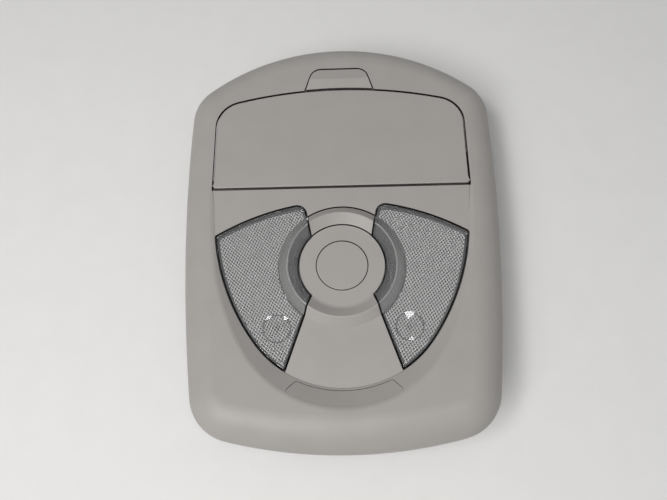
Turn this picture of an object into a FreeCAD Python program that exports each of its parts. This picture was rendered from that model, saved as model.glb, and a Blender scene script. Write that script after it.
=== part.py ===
import FreeCAD, Part
import math
import os

V = FreeCAD.Vector
os.makedirs("parts", exist_ok=True)

# Overhead console lamp with sunglasses holder: X across, Y towards the lid end, Z out of the visible face.
# The origin is the middle of the plane that the four towers stand on.

# Console shell
BODY_WIDTH = 200.8
BODY_LENGTH = 270.0
TOP_ARC_R = 141.0
BOTTOM_ARC_R = 300.0
SIDE_ARC_R = 1000.0
SIDE_WIDEST_Y = 47.0
BODY_CORNER_R = 28.0
EDGE_R = 18.0
WALL = 2.5
FACE_Z = 50.0
RIM_DROP = 27.0
HUMP_R = 2060.0
HUMP_Y = 60.0
RECESS_SLOPE = 30.0
RECESS_REACH = 14.0
RIDGE_R = 3.0
RIDGE_SHARE = 0.7
RIDGE_SINK = 0.05
RIDGE_EXIT = 10.0
RIDGE_STEP = 9.0
RIDGE_ROUNDS = 12

# Lamp panel, measured from the disc centre
DISC_Y = -28.0
DISC_R = 26.0
BLANK_R = 15.5
RING_RIDGE_R = 32.5
RING_FOOT_R = 37.7
RING_HEIGHT = 4.5
RING_ROOT_R = 4.0
RING_CREST_R = 0.8
PANEL_LOW_Y = -71.9
PANEL_LOW_R = 63.7
PANEL_SIDE_R = 136.6
PANEL_TURN = 36.0
LENS_TOP_R = 146.5
LENS_TOP_Y = 42.0
LENS_CORNER_R = 6.0
LENS_TIP_R = 1.3
LENS_LEAST_R = 0.5
SPOKE_TURN = 45.0
UPPER_SPOKE_LEAN = 11.2
LOWER_SPOKE_LEAN = 18.9
LAMP_GAP = 1.1
COVER_IN = 2.0
COVER_WIDTH = 8.8
COVER_HALF_TURN = 24.3
COVER_FLARE = 2.3
COVER_GAP = 0.25
COVER_LOW_GAP = 0.05
COVER_END_R = 2.0
FAN_GAP = 0.1
BLANK_GAP = 0.5
BLANK_EDGE_R = 0.3
GROOVE_W = 0.8
GROOVE_DEPTH = 1.6

# Lenses and their switches
LENS_T = 2.2
LENS_EDGE_R = 0.6
SKIRT_DEPTH = 7.0
SKIRT_T = 1.4
LENS_AXIS_IN = 7.5
LENS_AXIS_DEPTH = 4.6
LENS_PIN_R = 1.3
LENS_PIN_FIT = 0.06
LENS_PIN_ROOT = 3.0
LENS_PIN_GRIP = 1.8
DIMPLE_X = 38.5
DIMPLE_Y = -37.5
DIMPLE_R = 8.5
DIMPLE_DEPTH = 1.0
PUSH_ROD_R = 2.0
PUSH_ROD_END = 9.4
PUSH_ROD_SINK = 0.2
SWITCH_W = 10.0
SWITCH_H = 12.0
SWITCH_CORNER_R = 1.0
PLUNGER_R = 1.8
PLUNGER_FIT = 0.06
PLUNGER_GAP = 0.25
PLUNGER_GRIP = 2.0
PLUNGER_TRAVEL = 2.6

# Lamp housing and what it holds
HOUSING_DEPTH = 30.0
HOUSING_WALL = 2.2
HOUSING_FLOOR = 2.5
CAVITY_CLEAR = 0.3
POCKET_WALL = 2.7
BULB_X = 50.0
BULB_Y = -3.0
BULB_LENGTH = 34.0
BULB_R = 5.2
BULB_CAP_R = 3.6
BULB_TIP_R = 1.8
BULB_CAP_LENGTH = 6.0
BULB_NECK = 1.0
BULB_CONE = 2.0
BULB_DEPTH = 15.0
REFLECTOR_R = 15.0
REFLECTOR_T = 1.0
REFLECTOR_END_GAP = 2.5
REFLECTOR_FOOT_W = 10.0
STRIP_T = 0.8
STRIP_W = 5.0
STRIP_FIT = 0.15
FEED_X = 60.0
PLUG_Y = -48.0
PLUG_W = 13.4
PLUG_H = 7.4
PLUG_WALL = 1.8
PLUG_LENGTH = 16.0
PLUG_DEPTH = 14.0
PLUG_LUG = 1.2
PLUG_LUG_W = 5.0
CORE_SPLIT_Y = -27.0
PIN_W = 1.6
PIN_T = 0.8
PIN_PITCH = 4.0
PIN_LENGTH = 8.0
TOP_BOSS_X = 45.0
TOP_BOSS_Y = 45.0
LOW_BOSS_X = 57.0
LOW_BOSS_Y = -55.5
BOSS_R = 4.0
BOSS_END = 10.0
EAR_T = 2.5
EAR_REACH = 12.0
SCREW_R = 1.4
SCREW_FIT = 0.05
SCREW_HEAD_R = 3.2
SCREW_HEAD_H = 2.2
SCREW_LENGTH = 8.5
EAR_HOLE_R = 1.7

# Lid, bin and hinge
LID_WIDTH = 160.0
LID_LOW_Y = 24.7
LID_HEIGHT = 70.1
LID_CORNER_R = 18.0
LID_TOP_R = 275.0
LID_GAP = 1.0
LID_LOW_GAP = 1.8
LID_T = 2.5
LID_EDGE_R = 0.8
NOSE_R = 3.0
ROD_R = 1.2
ROD_FIT = 0.05
HINGE_EAR_GAP = 0.6
HINGE_EAR_T = 3.0
HINGE_EAR_R = 5.0
BIN_HALF_W = 74.0
BIN_WALL = 2.0
BIN_R = 54.0
BIN_DEPTH = 43.0
BIN_NEAR = 4.0
MOUTH_LIP = 12.0
MOUTH_TOP = 20.0
LINING_T = 1.2
LINING_SHY = 1.5
STAKE_TAB_LENGTH = 8.0
STAKE_TAB_REACH = 5.0
STAKE_TAB_NEAR = 14.0
STAKE_TAB_FAR = 42.0
STAKE_R = 1.5
STAKE_FIT = 0.05
STAKE_LENGTH = 3.0
STRIKER_W = 12.0
STRIKER_T = 2.0
STRIKER_LENGTH = 9.5
STRIKER_IN = 5.0
LEDGE = 1.0
BUMPER_X = 50.0
BUMPER_R = 2.5
BUMPER_IN = 3.0
BUMPER_H = 5.3
BUMPER_GAP = 0.2
SHELF_T = 2.0
SHELF_W = 8.0

# Damper gears
MODULE = 1.0
SECTOR_TEETH = 48
PINION_TEETH = 12
PRESSURE = 20.0
SECTOR_ADDENDUM = 0.7
PINION_ADDENDUM = 0.9
ROOT_CLEAR = 0.2
BACKLASH = 0.24
SECTOR_T = 3.2
SECTOR_HUB_R = 5.0
MESH_TURN = -60.0
LID_SWING = 60.0
SPARE_TEETH = 1
FLANK_STEPS = 3
PINION_T = 2.6
PINION_SIDE_GAP = 0.4
SHAFT_R = 1.5
SHAFT_FIT = 0.06
SHAFT_LENGTH = 2.6
CASE_R = 8.0
CASE_GAP = 0.4
CASE_EAR_R = 3.0
CASE_EAR_OUT = 11.0
CASE_EAR_T = 1.6
BRACKET_MARGIN = 4.0
CASE_SCREW_R = 0.9
CASE_SCREW_HEAD_R = 2.0
CASE_SCREW_HEAD_H = 1.2
CASE_SCREW_GRIP = 2.0
CASE_SCREW_SPARE = 0.5

# Release tab
TAB_LOW_HALF = 22.0
TAB_TOP_HALF = 17.0
TAB_HEIGHT = 16.0
TAB_CORNER_R = 7.0
TAB_GAP = 1.1
TAB_LOW_GAP = 1.5
TAB_T = 2.5
TAB_RIDGE_UP = 1.4
TAB_RIDGE_R = 1.0
TAB_RIDGE_Y = 8.0
PIVOT_IN = 2.5
PIVOT_DEPTH = 5.0
PIVOT_BARREL_R = 2.0
PIVOT_PIN_R = 1.0
PIVOT_FIT = 0.05
PIVOT_HALF = 18.4
PIVOT_EAR_GAP = 0.5
PIVOT_EAR_T = 2.5
PIVOT_EAR_R = 3.5
HOOK_W = 10.0
HOOK_T = 2.0
HOOK_LENGTH = 9.0
HOOK_NOSE_T = 2.0
HOOK_CLEAR = 0.6
LEAF_T = 0.4
LEAF_W = 8.0
LEAF_DROP = 9.5
LEAF_GAP = 0.1
LEAF_SEAT = 4.0
LEAF_SETBACK = 0.8
LEAF_PEG_R = 1.0
LEAF_PEG_H = 1.2

# Towers and roof clips
TOWER_X = 78.0
TOWER_TOP_Y = 90.0
TOWER_LOW_Y = -98.0
TOWER_R = 5.5
TOWER_HOLE_R = 2.2
TOWER_HOLE_DEPTH = 14.0
CLIP_X = 45.0
CLIP_EDGE = 8.0
BLADE_W = 10.0
BLADE_T = 3.0
BLADE_END_Z = 12.0
CLIP_W = 8.0
CLIP_T = 0.8
CLIP_FIT = 0.05
CLIP_LENGTH = 12.0
CLIP_BARB = 1.5
CROSS_RIB_HALF = 68.0
CROSS_RIB_T = 2.0
CROSS_RIB_CLEAR = 0.5
CROSS_RIB_BACK = 8.0

# Working values: how far cutters run past a face, how near counts as equal
CUT_OVER = 1.0
TINY = 1e-6
SEAM_WIDTH = 0.01

# Derived places
HALF_W = BODY_WIDTH / 2
BODY_TOP_Y = BODY_LENGTH / 2
BODY_LOW_Y = -BODY_LENGTH / 2
RIM_Z = FACE_Z - RIM_DROP
HINGE_Y = LID_LOW_Y + NOSE_R
HINGE_Z = FACE_Z - NOSE_R
LID_TOP_Y = LID_LOW_Y + LID_HEIGHT
LID_BACK_Z = FACE_Z - LID_T
EAR_X = LID_WIDTH / 2 + LID_GAP + HINGE_EAR_GAP
FAR = 2 * (BODY_WIDTH + BODY_LENGTH)
TALL = 3 * FACE_Z
PANEL_BACK = WALL
FLOOR_Z = -(HOUSING_DEPTH - HOUSING_FLOOR)
LENS_INSET = LAMP_GAP / 2
PIVOT_Y = LID_TOP_Y + TAB_HEIGHT - PIVOT_IN
PIVOT_Z = FACE_Z - PIVOT_DEPTH
ROD_HALF = EAR_X + HINGE_EAR_T
PIVOT_PIN_HALF = PIVOT_HALF + PIVOT_EAR_GAP + PIVOT_EAR_T
SIDES = {"right": 1, "left": -1}


def export(name, shape):
    shape.exportStep("parts/" + name + ".step")


def box(x0, x1, y0, y1, z0, z1):
    return Part.makeBox(x1 - x0, y1 - y0, z1 - z0, V(x0, y0, z0))


def fuse_all(shapes):
    return shapes[0].multiFuse(shapes[1:]).removeSplitter() if len(shapes) > 1 else shapes[0]


def mirrored(shape):
    return shape.mirror(V(0, 0, 0), V(1, 0, 0))


def at_panel(shape):
    moved = shape.copy()
    moved.translate(V(0, DISC_Y, FACE_Z))
    return moved


def polar(centre, radius, degrees):
    turn = math.radians(degrees)
    return centre[0] + radius * math.cos(turn), centre[1] + radius * math.sin(turn)


def circles_meet(c1, r1, c2, r2):
    """Crossing of two circles, the one further right."""
    dx, dy = c2[0] - c1[0], c2[1] - c1[1]
    gap = math.hypot(dx, dy)
    along = (r1 * r1 - r2 * r2 + gap * gap) / (2 * gap)
    across = math.sqrt(r1 * r1 - along * along)
    found = []
    for sign in (1, -1):
        x = c1[0] + (along * dx - sign * across * dy) / gap
        y = c1[1] + (along * dy + sign * across * dx) / gap
        found.append((x, y))
    return max(found)


def line_meets_circle(point, direction, centre, radius):
    """Crossing of a line with a circle, the one further along the line."""
    px, py = point[0] - centre[0], point[1] - centre[1]
    along = px * direction[0] + py * direction[1]
    inside = radius * radius - (px * px + py * py - along * along)
    step = -along + math.sqrt(inside)
    return point[0] + step * direction[0], point[1] + step * direction[1]


def arc_middle(centre, radius, p, q):
    mx, my = (p[0] + q[0]) / 2 - centre[0], (p[1] + q[1]) / 2 - centre[1]
    size = math.hypot(mx, my)
    return centre[0] + mx / size * radius, centre[1] + my / size * radius


def outline(start, *steps):
    """Closed wire at z = 0: a step is a point for a straight run, or (centre, radius, point) for an arc."""
    edges = []
    here = start
    for step in steps + (start,):
        if len(step) == 3:
            centre, radius, there = step
            middle = arc_middle(centre, radius, here, there)
            edges.append(Part.Arc(V(*here, 0), V(*middle, 0), V(*there, 0)).toShape())
        else:
            there = step
            if math.dist(here, there) > TINY:
                edges.append(Part.LineSegment(V(*here, 0), V(*there, 0)).toShape())
        here = there
    return Part.Wire(edges)


def prism(wire, z0, z1):
    solid = Part.Face(wire).extrude(V(0, 0, z1 - z0))
    solid.translate(V(0, 0, z0))
    return solid


def sideways(points, x0, x1):
    """Solid swept along X from a straight-sided outline of (y, z) points."""
    corners = [V(x0, y, z) for y, z in points]
    return Part.Face(Part.makePolygon(corners + corners[:1])).extrude(V(x1 - x0, 0, 0))


def rod_x(radius, x0, x1, y, z):
    return Part.makeCylinder(radius, x1 - x0, V(x0, y, z), V(1, 0, 0))


def post(radius, x, y, z0, z1):
    return Part.makeCylinder(radius, z1 - z0, V(x, y, z0))


def round_upright(solid, point, radius):
    """Round the upright edge nearest to a plan point."""
    upright = []
    for edge in solid.Edges:
        ends = [v.Point for v in edge.Vertexes]
        if len(ends) == 2 and math.dist(ends[0][:2], ends[1][:2]) < TINY:
            upright.append(edge)
    nearest = min(upright, key=lambda e: math.dist(e.Vertexes[0].Point[:2], point))
    return solid.makeFillet(radius, [nearest])


def console_outline(inset):
    """Plan of the console: four large arcs joined by corner arcs, all moved in by the inset."""
    top = (0, BODY_TOP_Y - TOP_ARC_R)
    low = (0, BODY_LOW_Y + BOTTOM_ARC_R)
    side = (HALF_W - SIDE_ARC_R, SIDE_WIDEST_Y)
    side_reach = SIDE_ARC_R - BODY_CORNER_R
    top_corner = circles_meet(top, TOP_ARC_R - BODY_CORNER_R, side, side_reach)
    low_corner = circles_meet(low, BOTTOM_ARC_R - BODY_CORNER_R, side, side_reach)

    def touch(centre, radius, corner):
        share = radius / math.dist(centre, corner)
        return centre[0] + share * (corner[0] - centre[0]), centre[1] + share * (corner[1] - centre[1])

    def flip(p):
        return -p[0], p[1]

    r_top, r_side, r_low = TOP_ARC_R - inset, SIDE_ARC_R - inset, BOTTOM_ARC_R - inset
    r_corner = BODY_CORNER_R - inset
    a, b = touch(top, r_top, top_corner), touch(side, r_side, top_corner)
    c, d = touch(side, r_side, low_corner), touch(low, r_low, low_corner)
    return outline(
        flip(a),
        (top, r_top, a),
        (top_corner, r_corner, b),
        (side, r_side, c),
        (low_corner, r_corner, d),
        (low, r_low, flip(d)),
        (flip(low_corner), r_corner, flip(c)),
        (flip(side), r_side, flip(b)),
        (flip(top_corner), r_corner, flip(a)),
    )


def console_block(inset, z0):
    """Filled console: flat at the lid end, rising along an arc to the low end, edge rolled off all round."""
    top_z = FACE_Z - inset
    rise_r = HUMP_R + inset
    low_y = BODY_LOW_Y - BODY_CORNER_R
    reach = HUMP_Y - low_y
    low_z = FACE_Z + HUMP_R - math.sqrt(rise_r**2 - reach**2)
    turn = math.asin(reach / rise_r) / 2
    mid = (HUMP_Y - rise_r * math.sin(turn), FACE_Z + HUMP_R - rise_r * math.cos(turn))
    corners = [(low_y, low_z), (low_y, z0), (FAR, z0), (FAR, top_z), (HUMP_Y, top_z)]
    points = [V(-FAR, y, z) for y, z in corners]
    edges = [Part.LineSegment(p, q).toShape() for p, q in zip(points, points[1:])]
    edges.append(Part.Arc(points[-1], V(-FAR, *mid), points[0]).toShape())
    side_view = Part.Face(Part.Wire(edges)).extrude(V(2 * FAR, 0, 0))
    block = prism(console_outline(inset), z0, TALL).common(side_view)
    rolled = []
    for edge in block.Edges:
        bounds = edge.BoundBox
        seam = bounds.YLength < SEAM_WIDTH and bounds.XLength > BODY_WIDTH / 2
        if bounds.ZMin > z0 + CUT_OVER and not seam:
            rolled.append(edge)
    return block.makeFillet(EDGE_R - inset, rolled)


# Centres of the arcs that bound the lamp panel
LOW_CENTRE = (0, PANEL_LOW_Y + PANEL_LOW_R)
SIDE_JOIN = polar(LOW_CENTRE, PANEL_LOW_R, -PANEL_TURN)
SIDE_CENTRE = polar(SIDE_JOIN, PANEL_SIDE_R, 180 - PANEL_TURN)
LENS_TOP_CENTRE = (0, LENS_TOP_Y - LENS_TOP_R)


def upper_spoke(shift):
    """Line between disc and lens above the middle, moved towards the centre panel by the shift."""
    lean = math.radians(UPPER_SPOKE_LEAN)
    x, y = polar((0, 0), DISC_R, SPOKE_TURN)
    return (x - shift * math.cos(lean), y + shift * math.sin(lean)), (math.sin(lean), math.cos(lean))


def lower_spoke(shift):
    lean = math.radians(LOWER_SPOKE_LEAN)
    x, y = polar((0, 0), DISC_R, -SPOKE_TURN)
    return (x - shift * math.cos(lean), y - shift * math.sin(lean)), (math.sin(lean), -math.cos(lean))


def lens_corner(grow):
    return line_meets_circle(*upper_spoke(grow), LENS_TOP_CENTRE, LENS_TOP_R + grow)


def lens_far_corner(grow):
    return circles_meet(LENS_TOP_CENTRE, LENS_TOP_R + grow, SIDE_CENTRE, PANEL_SIDE_R + grow)


def lens_tip(grow):
    return line_meets_circle(*lower_spoke(grow), LOW_CENTRE, PANEL_LOW_R + grow)


def lens_outline(grow):
    """Plan of the right-hand lens with every side moved out by the same amount."""
    disc_r = DISC_R - grow
    start = line_meets_circle(*upper_spoke(grow), (0, 0), disc_r)
    join = polar(LOW_CENTRE, PANEL_LOW_R + grow, -PANEL_TURN)
    return outline(
        start,
        lens_corner(grow),
        (LENS_TOP_CENTRE, LENS_TOP_R + grow, lens_far_corner(grow)),
        (SIDE_CENTRE, PANEL_SIDE_R + grow, join),
        (LOW_CENTRE, PANEL_LOW_R + grow, lens_tip(grow)),
        line_meets_circle(*lower_spoke(grow), (0, 0), disc_r),
        ((0, 0), disc_r, start),
    )


def lens_prism(grow, z0, z1):
    """Column of the right-hand lens; a corner stays sharp where the inset leaves it almost no radius."""
    solid = prism(lens_outline(grow), z0, z1)
    corners = ((lens_corner, LENS_CORNER_R), (lens_far_corner, LENS_TIP_R), (lens_tip, LENS_TIP_R))
    for corner, radius in corners:
        if radius + grow > LENS_LEAST_R:
            solid = round_upright(solid, corner(grow), radius + grow)
    return solid


def centre_outline(grow, low_grow):
    """Plan of the piece between the lenses: ring top, disc and lower fan."""
    foot, disc, low = RING_FOOT_R + grow, DISC_R + grow, PANEL_LOW_R + low_grow
    p = line_meets_circle(*upper_spoke(-grow), (0, 0), foot)
    e = line_meets_circle(*upper_spoke(-grow), (0, 0), disc)
    d = line_meets_circle(*lower_spoke(-grow), (0, 0), disc)
    c = line_meets_circle(*lower_spoke(-grow), LOW_CENTRE, low)
    return outline(
        p,
        ((0, 0), foot, (-p[0], p[1])),
        (-e[0], e[1]),
        ((0, 0), disc, (-d[0], d[1])),
        (-c[0], c[1]),
        (LOW_CENTRE, low, c),
        d,
        ((0, 0), disc, e),
    )


def lamp_prism(grow, z0, z1):
    """Whole lamp field: both lenses and the centre piece."""
    lens = lens_prism(grow, z0, z1)
    return fuse_all([prism(centre_outline(grow, grow), z0, z1), lens, mirrored(lens)])


def recess_outline(grow):
    """Edge of the sunken panel: low arc, side arcs, and straight sides up to the lid's low corners."""
    low_r, side_r = PANEL_LOW_R + grow, PANEL_SIDE_R + grow
    join = polar(LOW_CENTRE, low_r, -PANEL_TURN)
    bend = lens_far_corner(grow)
    top = LID_WIDTH / 2 + LID_GAP + grow, LID_LOW_Y - DISC_Y
    return outline(
        top,
        bend,
        (SIDE_CENTRE, side_r, join),
        (LOW_CENTRE, low_r, (-join[0], join[1])),
        ((-SIDE_CENTRE[0], SIDE_CENTRE[1]), side_r, (-bend[0], bend[1])),
        (-top[0], top[1]),
    )


def recess_block(grow, sink):
    """Sunken space over the lamp panel with sloping sides, grown and sunk for the wall behind it."""
    spread = RECESS_REACH / math.tan(math.radians(RECESS_SLOPE))
    low, high = recess_outline(grow), recess_outline(grow + spread)
    low.translate(V(0, 0, -sink))
    high.translate(V(0, 0, RECESS_REACH - sink))
    return at_panel(Part.makeLoft([low, high], True, True))


def spaced(start, end, length):
    """Even steps from a start towards an end, the end left out, each about one ridge step long."""
    count = max(2, round(length / RIDGE_STEP))
    return [start + (end - start) * step / count for step in range(count)]


def recess_stations():
    """Points along the right half of the panel edge, from the lid down, each with its outward direction."""
    bend = lens_far_corner(0)
    top = LID_WIDTH / 2 + LID_GAP, LID_LOW_Y - DISC_Y
    run = math.dist(top, bend)
    out = (top[1] - bend[1]) / run, (bend[0] - top[0]) / run
    stations = []
    for share in spaced(0, 1, run):
        point = top[0] + share * (bend[0] - top[0]), top[1] + share * (bend[1] - top[1])
        stations.append((point, out))
    first = math.degrees(math.asin((bend[1] - SIDE_CENTRE[1]) / PANEL_SIDE_R))
    arcs = ((SIDE_CENTRE, PANEL_SIDE_R, first, -PANEL_TURN), (LOW_CENTRE, PANEL_LOW_R, -PANEL_TURN, -90))
    for centre, radius, start, end in arcs:
        for turn in spaced(start, end, radius * math.radians(start - end)):
            stations.append((polar(centre, radius, turn), polar((0, 0), 1, turn)))
    stations.append((polar(LOW_CENTRE, PANEL_LOW_R, -90), (0, -1)))
    return stations


def hump_rise(y):
    """Height of the hump over the panel plane, and its slope, at a panel Y."""
    back = HUMP_Y - DISC_Y - y
    level = math.sqrt(HUMP_R**2 - back**2)
    return HUMP_R - level, back / level


def ridge_section(point, out):
    """Section of the tool that rounds the ridge: an arc sunk a little between wall and hump, open above."""
    wall = math.radians(RECESS_SLOPE)
    reach = 0
    for _ in range(RIDGE_ROUNDS):
        reach = hump_rise(point[1] + reach * out[1])[0] / math.tan(wall)
    rise, slope = hump_rise(point[1] + reach * out[1])
    hump = math.atan(-slope * out[1])
    half, up = (wall - hump) / 2, math.pi / 2 + (wall + hump) / 2
    radius = min(RIDGE_R, RIDGE_SHARE * rise / math.sin(wall) / math.tan(half))
    drop = radius / math.cos(half) + RIDGE_SINK
    centre = reach - drop * math.cos(up), rise - drop * math.sin(up)

    def on_arc(turn):
        return centre[0] + radius * math.cos(turn), centre[1] + radius * math.sin(turn)

    def place(p):
        return V(point[0] + p[0] * out[0], point[1] + p[0] * out[1], p[1])

    exit_turn = math.radians(RIDGE_EXIT)
    inner, outer = on_arc(up + half), on_arc(up - half)
    into = inner[0] - CUT_OVER * math.cos(wall - exit_turn), inner[1] - CUT_OVER * math.sin(wall - exit_turn)
    away = outer[0] + CUT_OVER * math.cos(hump + exit_turn), outer[1] + CUT_OVER * math.sin(hump + exit_turn)
    high = rise + RIDGE_R
    corners = [place(p) for p in (outer, away, (away[0], high), (into[0], high), into, inner)]
    edges = [Part.Arc(place(inner), place(on_arc(up)), place(outer)).toShape()]
    edges += [Part.LineSegment(p, q).toShape() for p, q in zip(corners, corners[1:])]
    return Part.Wire(edges)


def ridge_tool():
    """Loft along the right half of the ridge between the recess wall and the hump."""
    return at_panel(Part.makeLoft([ridge_section(*station) for station in recess_stations()], True, False))


def ring_block():
    """Raised ring round the disc: dished inside, straight outside, crest rounded, turned about its axis."""
    slope = math.atan2(RING_HEIGHT, RING_RIDGE_R - DISC_R)
    reach = RING_ROOT_R * math.tan(slope / 2)
    base = V(DISC_R - reach, 0, 0)
    rise = V(DISC_R + reach * math.cos(slope), 0, reach * math.sin(slope))
    bend = V(base.x + RING_ROOT_R * math.sin(slope / 2), 0, RING_ROOT_R * (1 - math.cos(slope / 2)))
    ridge = V(RING_RIDGE_R, 0, RING_HEIGHT)
    foot = V(RING_FOOT_R, 0, 0)
    under_out, under_in = V(RING_FOOT_R, 0, -LENS_T / 2), V(base.x, 0, -LENS_T / 2)
    edges = [Part.Arc(base, bend, rise).toShape()]
    for p, q in ((rise, ridge), (ridge, foot), (foot, under_out), (under_out, under_in), (under_in, base)):
        edges.append(Part.LineSegment(p, q).toShape())
    ring = Part.Face(Part.Wire(edges)).revolve(V(0, 0, 0), V(0, 0, 1), 360)
    crest = [e for e in ring.Edges if e.BoundBox.ZMin > RING_HEIGHT - TINY]
    return ring.makeFillet(RING_CREST_R, crest)


def lid_outline(grow, low_grow):
    """Plan of the lid: straight low edge, straight sides, rounded corners and an arched top."""
    half, corner_r, top_r = LID_WIDTH / 2 + grow, LID_CORNER_R + grow, LID_TOP_R + grow
    top = (0, LID_TOP_Y - LID_TOP_R)
    corner_x = LID_WIDTH / 2 - LID_CORNER_R
    corner_y = top[1] + math.sqrt((LID_TOP_R - LID_CORNER_R) ** 2 - corner_x**2)
    share = top_r / (LID_TOP_R - LID_CORNER_R)
    touch = corner_x * share, top[1] + (corner_y - top[1]) * share
    low = LID_LOW_Y - low_grow
    return outline(
        (half, low),
        (half, corner_y),
        ((corner_x, corner_y), corner_r, touch),
        (top, top_r, (-touch[0], touch[1])),
        ((-corner_x, corner_y), corner_r, (-half, corner_y)),
        (-half, low),
    )


def tab_prism(grow, z0, z1):
    """Release tab column, its low edge left long so that the lid outline can trim it."""
    lean = (TAB_LOW_HALF - TAB_TOP_HALF) / TAB_HEIGHT
    low = LID_TOP_Y - TAB_HEIGHT / 2
    high = LID_TOP_Y + TAB_HEIGHT + grow
    low_half = TAB_LOW_HALF + lean * TAB_HEIGHT / 2 + grow
    high_half = TAB_TOP_HALF - lean * grow + grow
    wire = outline((-low_half, low), (low_half, low), (high_half, high), (-high_half, high))
    solid = prism(wire, z0, z1)
    for sign in (1, -1):
        solid = round_upright(solid, (sign * high_half, high), TAB_CORNER_R + grow)
    return solid


def clip_places():
    """Plan points of the four clip blades, each a set distance in from the console's end arcs."""
    top_y = BODY_TOP_Y - TOP_ARC_R + math.sqrt(TOP_ARC_R**2 - CLIP_X**2) - CLIP_EDGE
    low_y = BODY_LOW_Y + BOTTOM_ARC_R - math.sqrt(BOTTOM_ARC_R**2 - CLIP_X**2) + CLIP_EDGE
    return [(sign * CLIP_X, y) for sign in (1, -1) for y in (top_y, low_y)]


TOWERS = [(sign * TOWER_X, y) for sign in (1, -1) for y in (TOWER_TOP_Y, TOWER_LOW_Y)]
BOSS_PAIR = ((TOP_BOSS_X, TOP_BOSS_Y), (LOW_BOSS_X, LOW_BOSS_Y))
BOSSES = [(sign * x, y) for sign in (1, -1) for x, y in BOSS_PAIR]
CASE_Y, CASE_Z = polar((HINGE_Y, HINGE_Z), MODULE * (SECTOR_TEETH + PINION_TEETH) / 2, MESH_TURN)
CASE_HOLES = [(CASE_Y, CASE_Z + sign * CASE_EAR_OUT) for sign in (1, -1)]
BUMPER_Y = LID_TOP_Y - LID_TOP_R + math.sqrt(LID_TOP_R**2 - BUMPER_X**2) - BUMPER_IN
SHELF_Z = LID_BACK_Z - BUMPER_GAP - BUMPER_H
LEAF_END_Y = LID_TOP_Y + TAB_HEIGHT + TAB_GAP + LEAF_SETBACK + LEAF_SEAT
LEAF_PEG_Y = LEAF_END_Y - LEAF_SEAT / 2


def bezel_ribs():
    """Everything that stands on the inside of the shell."""
    ribs = []
    for sign in (1, -1):
        inner, outer = sorted((sign * EAR_X, sign * (EAR_X + HINGE_EAR_T)))
        low_y, high_y = HINGE_Y - HINGE_EAR_R, HINGE_Y + HINGE_EAR_R
        low_z = HINGE_Z - HINGE_EAR_R
        if sign > 0:
            high_y = CASE_Y + CASE_EAR_R + BRACKET_MARGIN
            low_z = CASE_Z - CASE_EAR_OUT - CASE_EAR_R
        ribs.append(box(inner, outer, low_y, high_y, low_z, FACE_Z))
        x = sign * (PIVOT_HALF + PIVOT_EAR_GAP)
        inner, outer = sorted((x, x + sign * PIVOT_EAR_T))
        low_y, high_y = PIVOT_Y - PIVOT_EAR_R, PIVOT_Y + PIVOT_EAR_R
        ribs.append(box(inner, outer, low_y, high_y, PIVOT_Z - PIVOT_EAR_R, FACE_Z))
        inner, outer = sign * BUMPER_X - SHELF_W / 2, sign * BUMPER_X + SHELF_W / 2
        web_y = BUMPER_Y + BUMPER_IN + LID_GAP
        ribs.append(box(inner, outer, BUMPER_Y - BUMPER_R, web_y + SHELF_T, SHELF_Z - SHELF_T, SHELF_Z))
        ribs.append(box(inner, outer, web_y, web_y + SHELF_T, SHELF_Z - SHELF_T, FACE_Z))
    for x, y in BOSSES:
        ribs.append(post(BOSS_R, x, y + DISC_Y, FACE_Z - BOSS_END, TALL))
    for x, y in TOWERS:
        ribs.append(post(TOWER_R, x, y, 0, TALL))
    for x, y in clip_places():
        sides = x - BLADE_W / 2, x + BLADE_W / 2, y - BLADE_T / 2, y + BLADE_T / 2
        ribs.append(box(*sides, BLADE_END_Z, TALL))
    rib_y = LID_LOW_Y - CROSS_RIB_BACK
    rib_z = FACE_Z - BOSS_END + CROSS_RIB_CLEAR
    ribs.append(box(-CROSS_RIB_HALF, CROSS_RIB_HALF, rib_y, rib_y + CROSS_RIB_T, rib_z, FACE_Z))
    half = LEAF_W / 2 + LEAF_PEG_R
    ribs.append(box(-half, half, LEAF_END_Y - LEAF_SEAT, LEAF_END_Y, FACE_Z - LEAF_DROP, FACE_Z))
    ribs.append(post(LEAF_PEG_R, 0, LEAF_PEG_Y, FACE_Z - LEAF_DROP - LEAF_PEG_H, FACE_Z))
    return fuse_all(ribs)


def cover_prism(grow, low_grow):
    """Column of the crescent cover in the sloping wall below the lamp panel."""
    inner_r = PANEL_LOW_R + COVER_IN - grow
    outer_r = PANEL_LOW_R + COVER_IN + COVER_WIDTH + low_grow
    more = math.degrees(grow / inner_r)
    a = polar(LOW_CENTRE, inner_r, -90 + COVER_HALF_TURN + more)
    b = polar(LOW_CENTRE, outer_r, -90 + COVER_HALF_TURN + COVER_FLARE + more)
    wire = outline(a, (LOW_CENTRE, inner_r, (-a[0], a[1])), (-b[0], b[1]), (LOW_CENTRE, outer_r, b))
    column = prism(wire, -2 * RECESS_REACH, 2 * RECESS_REACH)
    for corner in (a, b, (-a[0], a[1]), (-b[0], b[1])):
        column = round_upright(column, corner, COVER_END_R + grow)
    return at_panel(column)


def bezel_shell():
    """Shell with its ribs, before any opening is cut."""
    ribs = bezel_ribs()
    tool = ridge_tool()
    block = console_block(0, 0).cut(recess_block(0, 0)).cut(tool).cut(mirrored(tool))
    wall_grow = WALL * math.sin(math.radians(RECESS_SLOPE))
    hollow = console_block(WALL, -CUT_OVER).cut(recess_block(wall_grow, WALL))
    under = box(-FAR, FAR, -FAR, FAR, -CUT_OVER, RIM_Z)
    return block.cut(hollow.cut(ribs)).cut(under.cut(ribs))


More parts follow.
